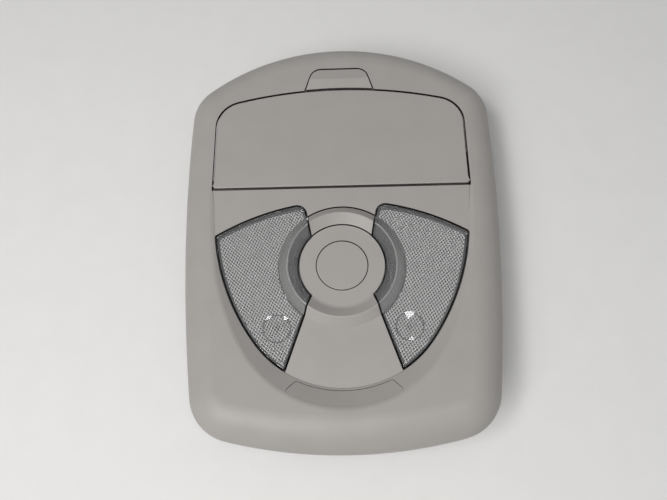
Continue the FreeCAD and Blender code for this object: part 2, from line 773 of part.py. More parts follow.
def bezel(shell):
    cuts = [prism(lid_outline(LID_GAP, LID_LOW_GAP), LID_BACK_Z - LID_T, TALL)]
    cuts.append(tab_prism(TAB_GAP, FACE_Z - WALL - CUT_OVER, TALL))
    cuts.append(at_panel(lamp_prism(LENS_INSET, -WALL - CUT_OVER, RECESS_REACH)))
    cuts.append(cover_prism(COVER_GAP, COVER_LOW_GAP))
    for radius, half, y, z in (
        (ROD_R + ROD_FIT, ROD_HALF + CUT_OVER, HINGE_Y, HINGE_Z),
        (PIVOT_PIN_R + PIVOT_FIT, PIVOT_PIN_HALF + CUT_OVER, PIVOT_Y, PIVOT_Z),
    ):
        cuts.append(rod_x(radius, -half, half, y, z))
    for x, y in BOSSES:
        z = FACE_Z - BOSS_END
        end = z + SCREW_LENGTH - EAR_T + CUT_OVER
        cuts.append(post(SCREW_R + SCREW_FIT, x, y + DISC_Y, z - CUT_OVER, end))
    for x, y in TOWERS:
        cuts.append(post(TOWER_HOLE_R, x, y, -CUT_OVER, TOWER_HOLE_DEPTH))
    for y, z in CASE_HOLES:
        end = EAR_X + CASE_SCREW_GRIP + CASE_SCREW_SPARE
        cuts.append(rod_x(CASE_SCREW_R + SCREW_FIT, EAR_X - CUT_OVER, end, y, z))
    return shell.cut(fuse_all(cuts))


def lens_axis():
    """Two plan points of the right-hand lens pivot, inner end first."""
    a, b = lens_corner(0), lens_far_corner(0)
    size = math.dist(a, b)
    along = (b[0] - a[0]) / size, (b[1] - a[1]) / size
    start = a[0] + LENS_AXIS_IN * along[1], a[1] - LENS_AXIS_IN * along[0]
    spoke, lean = upper_spoke(-LENS_INSET)
    cross = along[0] * lean[1] - along[1] * lean[0]
    step = ((spoke[0] - start[0]) * lean[1] - (spoke[1] - start[1]) * lean[0]) / cross
    inner = start[0] + step * along[0], start[1] + step * along[1]
    outer = line_meets_circle(inner, along, SIDE_CENTRE, PANEL_SIDE_R - LENS_INSET)
    return inner, outer, along


def lens_pins(radius, inside, outside):
    """Short trunnions at both ends of the lens pivot."""
    inner, outer, along = lens_axis()
    way = V(along[0], along[1], 0)
    first = V(*inner, -LENS_AXIS_DEPTH) - way * outside
    second = V(*outer, -LENS_AXIS_DEPTH) - way * inside
    reach = inside + outside
    return [Part.makeCylinder(radius, reach, first, way), Part.makeCylinder(radius, reach, second, way)]


def top_edges(solid):
    """Edges that lie in the panel plane."""
    return [e for e in solid.Edges if abs(e.BoundBox.ZMin) < TINY and abs(e.BoundBox.ZMax) < TINY]


def lens():
    """Clear push lens: plate with the ring across its inner corner, a skirt, trunnions and a push rod."""
    body = lens_prism(-LENS_INSET, -SKIRT_DEPTH, 0)
    body = body.cut(lens_prism(-LENS_INSET - SKIRT_T, -SKIRT_DEPTH - CUT_OVER, -LENS_T))
    rim = [e for e in top_edges(body) if math.dist(e.CenterOfMass[:2], (0, 0)) > RING_RIDGE_R]
    body = body.makeFillet(LENS_EDGE_R, rim)
    ring = ring_block().common(lens_prism(-LENS_INSET, -LENS_T / 2, 2 * RING_HEIGHT))
    rod = post(PUSH_ROD_R, DIMPLE_X, DIMPLE_Y, -PUSH_ROD_END, -LENS_T + PUSH_ROD_SINK)
    clear = CAVITY_CLEAR + LENS_INSET
    body = fuse_all([body, ring, rod] + lens_pins(LENS_PIN_R, LENS_PIN_ROOT, clear + LENS_PIN_GRIP))
    ball_r = (DIMPLE_R**2 + DIMPLE_DEPTH**2) / (2 * DIMPLE_DEPTH)
    return body.cut(Part.makeSphere(ball_r, V(DIMPLE_X, DIMPLE_Y, ball_r - DIMPLE_DEPTH)))


def centre_panel():
    plan = centre_outline(-LENS_INSET, LENS_INSET - FAN_GAP)
    column, plate = prism(plan, -PANEL_BACK, 2 * RING_HEIGHT), prism(plan, -PANEL_BACK, 0)
    panel = fuse_all([plate, ring_block().common(column)])
    low = -GROOVE_DEPTH
    groove = post(DISC_R + GROOVE_W / 2, 0, 0, low, RING_HEIGHT)
    groove = groove.cut(post(DISC_R - GROOVE_W / 2, 0, 0, low, RING_HEIGHT))
    groove = groove.common(box(-DISC_R, DISC_R, 0, FAR, low, RING_HEIGHT))
    return panel.cut(post(BLANK_R + BLANK_GAP / 2, 0, 0, -PANEL_BACK - CUT_OVER, RING_HEIGHT)).cut(groove)


def switch_blank():
    cap = post(BLANK_R - BLANK_GAP / 2, 0, 0, -PANEL_BACK, 0)
    return cap.makeFillet(BLANK_EDGE_R, top_edges(cap))


def strip_blade(x, y, top):
    return box(x - STRIP_W / 2, x + STRIP_W / 2, y - STRIP_T / 2, y + STRIP_T / 2, -HOUSING_DEPTH, top)


def strip_bar(x0, x1, y0, y1):
    return box(x0, x1, y0, y1, -HOUSING_DEPTH - STRIP_T, -HOUSING_DEPTH)


LOW_BLADE_Y = BULB_Y - BULB_LENGTH / 2 - STRIP_T / 2
HIGH_BLADE_Y = BULB_Y + BULB_LENGTH / 2 + STRIP_T / 2
BLADE_TOP = -BULB_DEPTH + BULB_CAP_R
SWITCH_FEED = (DIMPLE_X + SWITCH_W / 4, DIMPLE_Y - SWITCH_W / 4)
SUPPLY_Y = DIMPLE_Y + SWITCH_W / 2
SWITCH_SUPPLY = (DIMPLE_X - STRIP_W / 2, SUPPLY_Y - STRIP_W / 4)


def ground_strip():
    """Stamped bar behind the housing with one spring blade up to the low end of each bulb."""
    half = STRIP_W / 2
    bar = strip_bar(-BULB_X - half, BULB_X + half, LOW_BLADE_Y - half, LOW_BLADE_Y + half)
    return fuse_all([bar] + [strip_blade(sign * BULB_X, LOW_BLADE_Y, BLADE_TOP) for sign in (1, -1)])


def feed_strip():
    """Stamped strip from the switch round to the upper end of the bulb."""
    half = STRIP_W / 2
    x, y = SWITCH_FEED
    upper = strip_bar(BULB_X - half, FEED_X + half, HIGH_BLADE_Y - half, HIGH_BLADE_Y + half)
    run = strip_bar(FEED_X - half, FEED_X + half, y - half, HIGH_BLADE_Y + half)
    lower = strip_bar(x - half, FEED_X + half, y - half, y + half)
    blades = [strip_blade(BULB_X, HIGH_BLADE_Y, BLADE_TOP), strip_blade(x, y, FLOOR_Z)]
    return fuse_all([upper, run, lower] + blades)


def supply_strip():
    """Stamped bar behind the housing that runs from the plug socket to both switches."""
    half = STRIP_W / 2
    x, y = SWITCH_SUPPLY
    bar = strip_bar(-x - half, x + half, SUPPLY_Y - half, SUPPLY_Y + half)
    tongue = strip_bar(-half, half, PLUG_Y + PLUG_H / 2 + PLUG_WALL, SUPPLY_Y)
    return fuse_all([bar, tongue] + [strip_blade(sign * x, y, FLOOR_Z) for sign in (1, -1)])


def lamp_housing():
    """Moulded tray behind the lamp panel: a cavity for each lens, a cored middle and four screw ears."""
    solids = [lamp_prism(CAVITY_CLEAR + HOUSING_WALL, -HOUSING_DEPTH, -PANEL_BACK)]
    for x, y in BOSSES:
        ear = post(BOSS_R, x, y, -BOSS_END - EAR_T, -BOSS_END)
        arm = box(0, EAR_REACH, -BOSS_R, BOSS_R, -BOSS_END - EAR_T, -BOSS_END)
        arm.rotate(V(0, 0, 0), V(0, 0, 1), math.degrees(math.atan2(-y, -x)))
        arm.translate(V(x, y, 0))
        solids += [ear, arm]
    body = fuse_all(solids)
    cavity = lens_prism(CAVITY_CLEAR, FLOOR_Z, 0)
    body = body.cut(cavity).cut(mirrored(cavity))
    pocket = centre_outline(-POCKET_WALL, -POCKET_WALL)
    core = prism(pocket, -HOUSING_DEPTH - CUT_OVER, -PANEL_BACK - HOUSING_WALL)
    body = body.cut(core.common(box(-FAR, FAR, CORE_SPLIT_Y, FAR, -FAR, FAR)))
    well = prism(pocket, FLOOR_Z, 0)
    body = body.cut(well.common(box(-FAR, FAR, -FAR, CORE_SPLIT_Y - HOUSING_WALL, -FAR, FAR)))
    cuts = [post(EAR_HOLE_R, x, y, -BOSS_END - EAR_T - CUT_OVER, -BOSS_END + CUT_OVER) for x, y in BOSSES]
    holes = lens_pins(LENS_PIN_R + LENS_PIN_FIT, LENS_PIN_ROOT, 2 * LENS_PIN_GRIP)
    cuts += holes + [mirrored(h) for h in holes]
    for sign in (1, -1):
        for x, y in (
            (sign * BULB_X, LOW_BLADE_Y),
            (sign * BULB_X, HIGH_BLADE_Y),
            (sign * SWITCH_FEED[0], SWITCH_FEED[1]),
            (sign * SWITCH_SUPPLY[0], SWITCH_SUPPLY[1]),
        ):
            half_x, half_y = STRIP_W / 2 + STRIP_FIT, STRIP_T / 2 + STRIP_FIT
            depth = -HOUSING_DEPTH - CUT_OVER, FLOOR_Z + CUT_OVER
            cuts.append(box(x - half_x, x + half_x, y - half_y, y + half_y, *depth))
    return body.cut(fuse_all(cuts))


SOCKET_END = -HOUSING_DEPTH - PLUG_LENGTH


def plug_socket():
    """Socket for the roof harness, standing on the back of the housing, with a latch lug on one side."""
    half_w, half_h = PLUG_W / 2, PLUG_H / 2
    outer_w, outer_h = half_w + PLUG_WALL, half_h + PLUG_WALL
    body = box(-outer_w, outer_w, PLUG_Y - outer_h, PLUG_Y + outer_h, SOCKET_END, -HOUSING_DEPTH)
    middle = (SOCKET_END - HOUSING_DEPTH) / 2
    lug_half = PLUG_LUG_W / 2
    lug_z = middle - PLUG_LUG, middle + PLUG_LUG
    lug = box(-lug_half, lug_half, PLUG_Y - outer_h - PLUG_LUG, PLUG_Y, *lug_z)
    depth = SOCKET_END - CUT_OVER, SOCKET_END + PLUG_DEPTH
    inside = box(-half_w, half_w, PLUG_Y - half_h, PLUG_Y + half_h, *depth)
    return fuse_all([body, lug]).cut(inside)


def connector_pins():
    top = SOCKET_END + PLUG_DEPTH
    y0, y1 = PLUG_Y - PIN_T / 2, PLUG_Y + PIN_T / 2
    pins = []
    for place in (-1, 0, 1):
        x = place * PIN_PITCH
        pins.append(box(x - PIN_W / 2, x + PIN_W / 2, y0, y1, top - PIN_LENGTH, top))
    return Part.makeCompound(pins)


def bulb():
    """Festoon bulb lying along Y: glass tube between two stepped metal ends, turned as one sealed solid."""
    half = BULB_LENGTH / 2
    neck = half - BULB_CAP_LENGTH
    upper = [(BULB_R, neck - BULB_NECK), (BULB_CAP_R, neck), (BULB_CAP_R, half - BULB_CONE)]
    upper += [(BULB_TIP_R, half), (0, half)]
    profile = [(r, -y) for r, y in reversed(upper)] + upper
    points = [V(BULB_X + r, BULB_Y + y, -BULB_DEPTH) for r, y in profile]
    face = Part.Face(Part.makePolygon(points + points[:1]))
    return face.revolve(V(BULB_X, 0, -BULB_DEPTH), V(0, 1, 0), 360)


def reflector():
    """Half-round trough under the bulb, standing on the housing floor on a flat foot."""
    half = BULB_LENGTH / 2 - REFLECTOR_END_GAP
    centre_z = FLOOR_Z + REFLECTOR_R + REFLECTOR_T
    y0, y1 = BULB_Y - half, BULB_Y + half
    axis = V(BULB_X, y0, centre_z)
    outer = Part.makeCylinder(REFLECTOR_R + REFLECTOR_T, y1 - y0, axis, V(0, 1, 0))
    inner = Part.makeCylinder(REFLECTOR_R, y1 - y0, axis, V(0, 1, 0))
    foot_half = REFLECTOR_FOOT_W / 2
    foot = box(BULB_X - foot_half, BULB_X + foot_half, y0, y1, FLOOR_Z, centre_z)
    below = box(BULB_X - FAR, BULB_X + FAR, y0, y1, FLOOR_Z, centre_z)
    return fuse_all([outer.common(below), foot]).cut(inner)


PLUNGER_TOP = -PUSH_ROD_END - PLUNGER_GAP
PLUNGER_END = FLOOR_Z + SWITCH_H - PLUNGER_GRIP


def switch_case():
    case = Part.makeBox(SWITCH_W, SWITCH_W, SWITCH_H)
    case.translate(V(DIMPLE_X - SWITCH_W / 2, DIMPLE_Y - SWITCH_W / 2, FLOOR_Z))
    bore = post(PLUNGER_R + PLUNGER_FIT, DIMPLE_X, DIMPLE_Y, PLUNGER_END - PLUNGER_TRAVEL, 0)
    upright = [e for e in case.Edges if e.BoundBox.ZLength > SWITCH_H / 2]
    return case.makeFillet(SWITCH_CORNER_R, upright).cut(bore)


def switch_plunger():
    return post(PLUNGER_R, DIMPLE_X, DIMPLE_Y, PLUNGER_END, PLUNGER_TOP)


def lamp_screws():
    screws = []
    for x, y in BOSSES:
        seat = -BOSS_END - EAR_T
        head = post(SCREW_HEAD_R, x, y, seat - SCREW_HEAD_H, seat)
        screws.append(fuse_all([head, post(SCREW_R, x, y, seat, seat + SCREW_LENGTH)]))
    return Part.makeCompound(screws)


def glasses_lid():
    """Lid plate with a rolled low edge round the rod, stakes for the bin and a striker for the latch."""
    plate = prism(lid_outline(0, 0), LID_BACK_Z, FACE_Z)
    plate = plate.makeFillet(LID_EDGE_R, [e for e in plate.Edges if e.BoundBox.ZMin > FACE_Z - TINY])
    half = LID_WIDTH / 2
    parts = [plate, rod_x(NOSE_R, -half, half, HINGE_Y, HINGE_Z)]
    for x, y in stake_places():
        parts.append(post(STAKE_R, x, y, LID_BACK_Z - STAKE_LENGTH, LID_BACK_Z + LID_T / 2))
    y1 = LID_TOP_Y - STRIKER_IN
    y0 = y1 - STRIKER_T
    low = LID_BACK_Z - STRIKER_LENGTH
    parts.append(box(-STRIKER_W / 2, STRIKER_W / 2, y0, y1, low, LID_BACK_Z + LID_T / 2))
    parts.append(box(-STRIKER_W / 2, STRIKER_W / 2, y0, y1 + LEDGE, low, low + STRIKER_T))
    return fuse_all(parts).cut(rod_x(ROD_R + ROD_FIT, -ROD_HALF, ROD_HALF, HINGE_Y, HINGE_Z))


def stake_places():
    x = BIN_HALF_W + STAKE_TAB_REACH / 2
    return [(sign * x, HINGE_Y + y) for sign in (1, -1) for y in (STAKE_TAB_NEAR, STAKE_TAB_FAR)]


def bin_section(inset, x0, x1):
    """Side view of the bin: near wall, back, and a far side that is an arc about the hinge."""
    radius = BIN_R - inset
    near, back, top = BIN_NEAR + inset, -BIN_DEPTH + inset, LID_BACK_Z - HINGE_Z
    far_back, far_top = math.sqrt(radius**2 - back**2), math.sqrt(radius**2 - top**2)
    middle = arc_middle((0, 0), radius, (far_back, back), (far_top, top))
    corners = ((far_top, top), (near, top), (near, back), (far_back, back))
    points = [V(x0, HINGE_Y + y, HINGE_Z + z) for y, z in corners]
    edges = [Part.LineSegment(p, q).toShape() for p, q in zip(points, points[1:])]
    edges.append(Part.Arc(points[3], V(x0, HINGE_Y + middle[0], HINGE_Z + middle[1]), points[0]).toShape())
    return Part.Face(Part.Wire(edges)).extrude(V(x1 - x0, 0, 0))


def involute_gear(teeth, addendum, root_r, turn):
    """Plan of a spur gear about the origin with involute flanks, one tooth centred on the turn angle."""
    pitch_r = MODULE * teeth / 2
    base_r = pitch_r * math.cos(math.radians(PRESSURE))
    tip_r = pitch_r + addendum
    pressure = math.radians(PRESSURE)
    half_pitch = (math.pi * MODULE / 2 - BACKLASH / 2) / (2 * pitch_r)
    half_base = half_pitch + math.tan(pressure) - pressure
    start_r = max(base_r, root_r)

    def flank(radius):
        angle = math.acos(base_r / radius)
        return half_base - (math.tan(angle) - angle)

    radii = [start_r + (tip_r - start_r) * step / FLANK_STEPS for step in range(FLANK_STEPS + 1)]
    edges = []

    def spot(radius, angle):
        return V(radius * math.cos(angle), radius * math.sin(angle), 0)

    for tooth in range(teeth):
        middle = math.radians(turn) + 2 * math.pi * tooth / teeth
        rise = [spot(r, middle - flank(r)) for r in radii]
        fall = [spot(r, middle + flank(r)) for r in reversed(radii)]
        root_in, root_out = spot(root_r, middle - flank(start_r)), spot(root_r, middle + flank(start_r))
        next_in = spot(root_r, middle + 2 * math.pi / teeth - flank(start_r))
        if start_r > root_r:
            edges.append(Part.LineSegment(root_in, rise[0]).toShape())
        for points in (rise, fall):
            curve = Part.BSplineCurve()
            curve.interpolate(points)
            edges.append(curve.toShape())
        edges.insert(len(edges) - 1, Part.Arc(rise[-1], spot(tip_r, middle), fall[0]).toShape())
        if start_r > root_r:
            edges.append(Part.LineSegment(fall[-1], root_out).toShape())
        edges.append(Part.Arc(root_out, spot(root_r, middle + math.pi / teeth), next_in).toShape())
    return Part.Face(Part.Wire(edges))


def gear_along_x(face, x0, x1, y, z):
    """Sweep a plan gear along X, plan x becoming Y and plan y becoming Z."""
    solid = face.extrude(V(0, 0, x1 - x0))
    solid.rotate(V(0, 0, 0), V(1, 1, 1), 120)
    solid.translate(V(x0, y, z))
    return solid


def damper_sector():
    """Toothed sector on the bin's side wall, cut from a full gear about the hinge."""
    tip_r = MODULE * SECTOR_TEETH / 2 + SECTOR_ADDENDUM
    root_r = MODULE * SECTOR_TEETH / 2 - PINION_ADDENDUM - ROOT_CLEAR
    face = involute_gear(SECTOR_TEETH, SECTOR_ADDENDUM, root_r, MESH_TURN)
    step = 360 / SECTOR_TEETH
    first = MESH_TURN - (math.ceil(LID_SWING / step) + SPARE_TEETH + 0.5) * step
    last = MESH_TURN + (SPARE_TEETH + 0.5) * step
    wedge = Part.makeCylinder(tip_r + CUT_OVER, 2 * CUT_OVER, V(0, 0, -CUT_OVER), V(0, 0, 1), last - first)
    wedge.rotate(V(0, 0, 0), V(0, 0, 1), first)
    face = face.common(wedge).cut(post(SECTOR_HUB_R, 0, 0, -CUT_OVER, CUT_OVER))
    return gear_along_x(face.Faces[0], BIN_HALF_W, BIN_HALF_W + SECTOR_T, HINGE_Y, HINGE_Z)


def damper_gear():
    root_r = MODULE * PINION_TEETH / 2 - SECTOR_ADDENDUM - ROOT_CLEAR
    space_turn = MESH_TURN + 180 + 180 / PINION_TEETH
    face = involute_gear(PINION_TEETH, PINION_ADDENDUM, root_r, space_turn)
    x0 = BIN_HALF_W + PINION_SIDE_GAP
    gear = gear_along_x(face, x0, x0 + PINION_T, CASE_Y, CASE_Z)
    shaft = rod_x(SHAFT_R, x0 + PINION_T / 2, x0 + PINION_T + CASE_GAP + SHAFT_LENGTH, CASE_Y, CASE_Z)
    return fuse_all([gear, shaft])


def damper_case():
    x0 = BIN_HALF_W + PINION_SIDE_GAP + PINION_T + CASE_GAP
    solids = [rod_x(CASE_R, x0, EAR_X, CASE_Y, CASE_Z)]
    for y, z in CASE_HOLES:
        solids.append(rod_x(CASE_EAR_R, EAR_X - CASE_EAR_T, EAR_X, y, z))
    y0, y1 = CASE_Y - CASE_EAR_R, CASE_Y + CASE_EAR_R
    solids.append(box(EAR_X - CASE_EAR_T, EAR_X, y0, y1, CASE_Z - CASE_EAR_OUT, CASE_Z + CASE_EAR_OUT))
    case = fuse_all(solids)
    for y, z in CASE_HOLES:
        case = case.cut(rod_x(CASE_SCREW_R + SCREW_FIT, x0, EAR_X + CUT_OVER, y, z))
    end = x0 + SHAFT_LENGTH + CASE_GAP
    return case.cut(rod_x(SHAFT_R + SHAFT_FIT, x0 - CUT_OVER, end, CASE_Y, CASE_Z))


def damper_screws():
    screws = []
    seat = EAR_X - CASE_EAR_T
    for y, z in CASE_HOLES:
        head = rod_x(CASE_SCREW_HEAD_R, seat - CASE_SCREW_HEAD_H, seat, y, z)
        screws.append(fuse_all([head, rod_x(CASE_SCREW_R, seat, EAR_X + CASE_SCREW_GRIP, y, z)]))
    return Part.makeCompound(screws)


def glasses_bin():
    """Sunglasses tray: sector end walls, near wall, back lip, low far wall, stake tabs, damper sector."""
    inner_half = BIN_HALF_W - BIN_WALL
    top = LID_BACK_Z
    shell = bin_section(0, -BIN_HALF_W, BIN_HALF_W).cut(bin_section(BIN_WALL, -inner_half, inner_half))
    mouth_y = HINGE_Y + BIN_NEAR + MOUTH_LIP
    shell = shell.cut(box(-inner_half, inner_half, mouth_y, FAR, 0, HINGE_Z - MOUTH_TOP))
    tabs = []
    for x, y in stake_places():
        x0, x1 = x - STAKE_TAB_REACH / 2, x + STAKE_TAB_REACH / 2
        y0, y1 = y - STAKE_TAB_LENGTH / 2, y + STAKE_TAB_LENGTH / 2
        tabs.append(box(x0, x1, y0, y1, top - BIN_WALL, top))
    tray = fuse_all([shell] + tabs + [damper_sector()])
    for x, y in stake_places():
        tray = tray.cut(post(STAKE_R + STAKE_FIT, x, y, top - STAKE_LENGTH - CUT_OVER, top + CUT_OVER))
    return tray


def bin_lining():
    """Felt strip laid in the angle between the bin's near wall and its back lip."""
    half = BIN_HALF_W - BIN_WALL - LINING_SHY
    near = HINGE_Y + BIN_NEAR + BIN_WALL
    back = HINGE_Z - BIN_DEPTH + BIN_WALL
    lip_end = HINGE_Y + BIN_NEAR + MOUTH_LIP - LINING_SHY
    top = HINGE_Z - LINING_SHY
    return sideways(
        [
            (near, top),
            (near, back),
            (lip_end, back),
            (lip_end, back + LINING_T),
            (near + LINING_T, back + LINING_T),
            (near + LINING_T, top),
        ],
        -half,
        half,
    )


def release_button():
    """Tab with a ridge across it, a pivot barrel under its top edge and a latch hook under its low edge."""
    low, high = LID_TOP_Y, LID_TOP_Y + TAB_HEIGHT
    ridge_y = low + TAB_RIDGE_Y
    back = FACE_Z - TAB_T
    roof = sideways(
        [(low, back), (high, back), (high, FACE_Z), (ridge_y, FACE_Z + TAB_RIDGE_UP), (low, FACE_Z)],
        -2 * TAB_LOW_HALF,
        2 * TAB_LOW_HALF,
    )
    roof = roof.makeFillet(TAB_RIDGE_R, [e for e in roof.Edges if e.BoundBox.ZMin > FACE_Z + TINY])
    plate = tab_prism(0, back, FACE_Z + 2 * TAB_RIDGE_UP).common(roof)
    plate = plate.cut(prism(lid_outline(TAB_LOW_GAP, 0), 0, TALL))
    neck_y = PIVOT_Y - PIVOT_BARREL_R, PIVOT_Y + PIVOT_BARREL_R
    neck_half = TAB_TOP_HALF - TAB_CORNER_R
    parts = [plate, rod_x(PIVOT_BARREL_R, -PIVOT_HALF, PIVOT_HALF, PIVOT_Y, PIVOT_Z)]
    parts.append(box(-neck_half, neck_half, *neck_y, PIVOT_Z, back + TAB_T / 2))
    arm_y = low + TAB_LOW_GAP
    arm_low = back - HOOK_LENGTH
    parts.append(box(-HOOK_W / 2, HOOK_W / 2, arm_y, arm_y + HOOK_T, arm_low, back + TAB_T / 2))
    nose_z = LID_BACK_Z - STRIKER_LENGTH + STRIKER_T + HOOK_CLEAR
    parts.append(box(-HOOK_W / 2, HOOK_W / 2, hook_tip_y(), arm_y + HOOK_T, nose_z, nose_z + HOOK_NOSE_T))
    return fuse_all(parts).cut(rod_x(PIVOT_PIN_R + PIVOT_FIT, -FAR, FAR, PIVOT_Y, PIVOT_Z))


def hook_tip_y():
    """Nearest that the hook may come to the arc that the striker ledge swings through."""
    ledge_y = LID_TOP_Y - STRIKER_IN + LEDGE - HINGE_Y
    ledge_z = LID_BACK_Z - STRIKER_LENGTH - HINGE_Z
    return HINGE_Y + math.hypot(ledge_y, ledge_z) + HOOK_CLEAR


def button_spring():
    """Bent leaf held on a peg, pressing the release tab outwards."""
    seat_z = FACE_Z - LEAF_DROP
    tip_z = FACE_Z - TAB_T - LEAF_GAP
    bend_y = PIVOT_Y
    tip_y = LID_TOP_Y + TAB_RIDGE_Y
    points = [
        (LEAF_END_Y, seat_z),
        (bend_y, seat_z),
        (tip_y, tip_z),
        (tip_y - LEAF_T, tip_z - LEAF_T),
        (bend_y - LEAF_T, seat_z - LEAF_T),
        (LEAF_END_Y, seat_z - LEAF_T),
    ]
    leaf = sideways(points, -LEAF_W / 2, LEAF_W / 2)
    return leaf.cut(post(LEAF_PEG_R + PIVOT_FIT, 0, LEAF_PEG_Y, 0, TALL))


def roof_clips():
    """Spring-steel U clips pushed over the blades, each with a barb on both sides."""
    inner = BLADE_T / 2 + CLIP_FIT
    outer = inner + CLIP_T
    bottom = BLADE_END_Z - CLIP_FIT
    top = bottom + CLIP_LENGTH
    barb_z = bottom + CLIP_LENGTH / 2
    half = [(inner, bottom), (inner, top), (outer, top)]
    half += [(outer + CLIP_BARB, barb_z), (outer, bottom - CLIP_T)]
    clips = []
    for x, y in clip_places():
        right = [(y + dy, z) for dy, z in half]
        left = [(y - dy, z) for dy, z in reversed(half)]
        clips.append(sideways(right + left, x - CLIP_W / 2, x + CLIP_W / 2))
    return Part.makeCompound(clips)


def lid_bumpers():
    bumpers = [post(BUMPER_R, sign * BUMPER_X, BUMPER_Y, SHELF_Z, SHELF_Z + BUMPER_H) for sign in (1, -1)]
    return Part.makeCompound(bumpers)


shell = bezel_shell()
export("bezel", bezel(shell))
export("mic_blank", shell.common(cover_prism(0, 0)))
export("centre_panel", at_panel(centre_panel()))
export("switch_blank", at_panel(switch_blank()))
export("lamp_housing", at_panel(lamp_housing()))
export("ground_strip", at_panel(ground_strip()))
export("supply_strip", at_panel(supply_strip()))
export("plug_socket", at_panel(plug_socket()))
export("connector_pins", at_panel(connector_pins()))
export("lamp_screws", at_panel(lamp_screws()))
for make in (lens, reflector, bulb, feed_strip, switch_case, switch_plunger):
    piece = make()
    for side, sign in SIDES.items():
        export(make.__name__ + "_" + side, at_panel(piece if sign > 0 else mirrored(piece)))
export("glasses_lid", glasses_lid())
export("glasses_bin", glasses_bin())
export("bin_lining", bin_lining())
export("hinge_rod", rod_x(ROD_R, -ROD_HALF, ROD_HALF, HINGE_Y, HINGE_Z))
export("damper_case", damper_case())
export("damper_gear", damper_gear())
export("damper_screws", damper_screws())
export("release_button", release_button())
export("button_pin", rod_x(PIVOT_PIN_R, -PIVOT_PIN_HALF, PIVOT_PIN_HALF, PIVOT_Y, PIVOT_Z))
export("button_spring", button_spring())
export("lid_bumpers", lid_bumpers())
export("roof_clips", roof_clips())
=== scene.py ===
import logging
import math
from collections.abc import Iterable
from dataclasses import dataclass
from enum import Enum

import bmesh
import bpy
from mathutils import Matrix, Vector


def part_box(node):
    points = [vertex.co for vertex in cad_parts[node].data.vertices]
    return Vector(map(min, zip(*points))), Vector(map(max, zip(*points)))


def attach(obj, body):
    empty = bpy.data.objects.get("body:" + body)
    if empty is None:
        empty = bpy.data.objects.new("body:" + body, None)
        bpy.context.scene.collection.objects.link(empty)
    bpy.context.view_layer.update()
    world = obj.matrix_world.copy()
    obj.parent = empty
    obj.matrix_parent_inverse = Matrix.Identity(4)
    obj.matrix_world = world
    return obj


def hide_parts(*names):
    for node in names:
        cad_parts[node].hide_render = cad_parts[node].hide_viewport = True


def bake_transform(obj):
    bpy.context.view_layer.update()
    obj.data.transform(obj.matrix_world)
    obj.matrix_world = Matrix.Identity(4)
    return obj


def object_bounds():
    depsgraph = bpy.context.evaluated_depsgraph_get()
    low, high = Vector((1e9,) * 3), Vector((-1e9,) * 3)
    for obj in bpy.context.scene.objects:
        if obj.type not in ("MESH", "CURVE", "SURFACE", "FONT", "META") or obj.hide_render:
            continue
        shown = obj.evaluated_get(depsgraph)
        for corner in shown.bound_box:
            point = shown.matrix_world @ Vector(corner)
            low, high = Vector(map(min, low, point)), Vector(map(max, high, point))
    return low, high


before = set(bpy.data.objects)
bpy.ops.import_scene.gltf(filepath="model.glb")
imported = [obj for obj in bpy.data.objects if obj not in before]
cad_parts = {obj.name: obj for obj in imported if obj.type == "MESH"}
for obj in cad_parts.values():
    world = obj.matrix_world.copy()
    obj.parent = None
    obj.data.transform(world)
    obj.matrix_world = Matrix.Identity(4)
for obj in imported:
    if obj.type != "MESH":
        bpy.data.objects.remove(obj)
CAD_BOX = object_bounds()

log = logging.getLogger("console_lamp")

MM = 0.001
FACE_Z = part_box("glasses_lid")[1].z
DISC_CENTRE = Vector((0, -28 * MM, FACE_Z))

# Noise hardly leaves the middle of its range, so its patterns are stretched from there.
MIDDLE = {"From Min": 0.3, "From Max": 0.7}

# The colour sockets of a Mix node go by number, because their names repeat.
MIX_SHARE, MIX_FIRST, MIX_SECOND, MIX_RESULT = 0, 6, 7, 2

# The studio's backdrop, where it is seen or mirrored.
BACKDROP = "#F2F3F5"
BACKDROP_STRENGTH = 0.85


class Slot(Enum):
    """Material slots of the record, by their names."""

    CLEAR_LENS = "clear_lens"
    PLATED_STEEL = "plated_steel"


class Side(Enum):
    """The two lamps, by the sign of their X."""

    LEFT = -1
    RIGHT = 1

    @property
    def word(self) -> str:
        """The side as the nodes' names spell it."""
        return self.name.lower()


class LensZone(Enum):
    """Parts of a lens that differ in finish, numbered as the lens's materials are."""

    CLEAR = 0
    CREST = 1
    PAINTED_SHADE = 2
    SLOPE = 3


class Operation(Enum):
    """What one closed shape does to another."""

    CLIP = "INTERSECT"
    CUT = "DIFFERENCE"


def linear(hex_colour: str) -> tuple[float, float, float, float]:
    """Turn an sRGB hex colour into a linear one.

    Args:
        hex_colour: colour as #RRGGBB.

    Returns:
        Linear red, green, blue and an alpha of 1.
    """
    channels = [int(hex_colour[start:start + 2], 16) / 255 for start in (1, 3, 5)]
    levels = [c / 12.92 if c <= 0.04045 else ((c + 0.055) / 1.055) ** 2.4 for c in channels]
    return (*levels, 1.0)


def add_node(tree: bpy.types.NodeTree, kind: str, inputs: dict[str | int, object],
             **settings: object) -> bpy.types.Node:
    """Add a node with its settings, its values and its incoming links.

    Args:
        tree: node tree that takes the node.
        kind: type name of the node.
        inputs: for each input socket, by name or number, a socket to link from or a value.
        settings: properties of the node itself.

    Returns:
        The new node.
    """
    node = tree.nodes.new(kind)
    for name, value in settings.items():
        setattr(node, name, value)
    for name, value in inputs.items():
        if isinstance(value, bpy.types.NodeSocket):
            tree.links.new(value, node.inputs[name])
        else:
            node.inputs[name].default_value = value
    return node


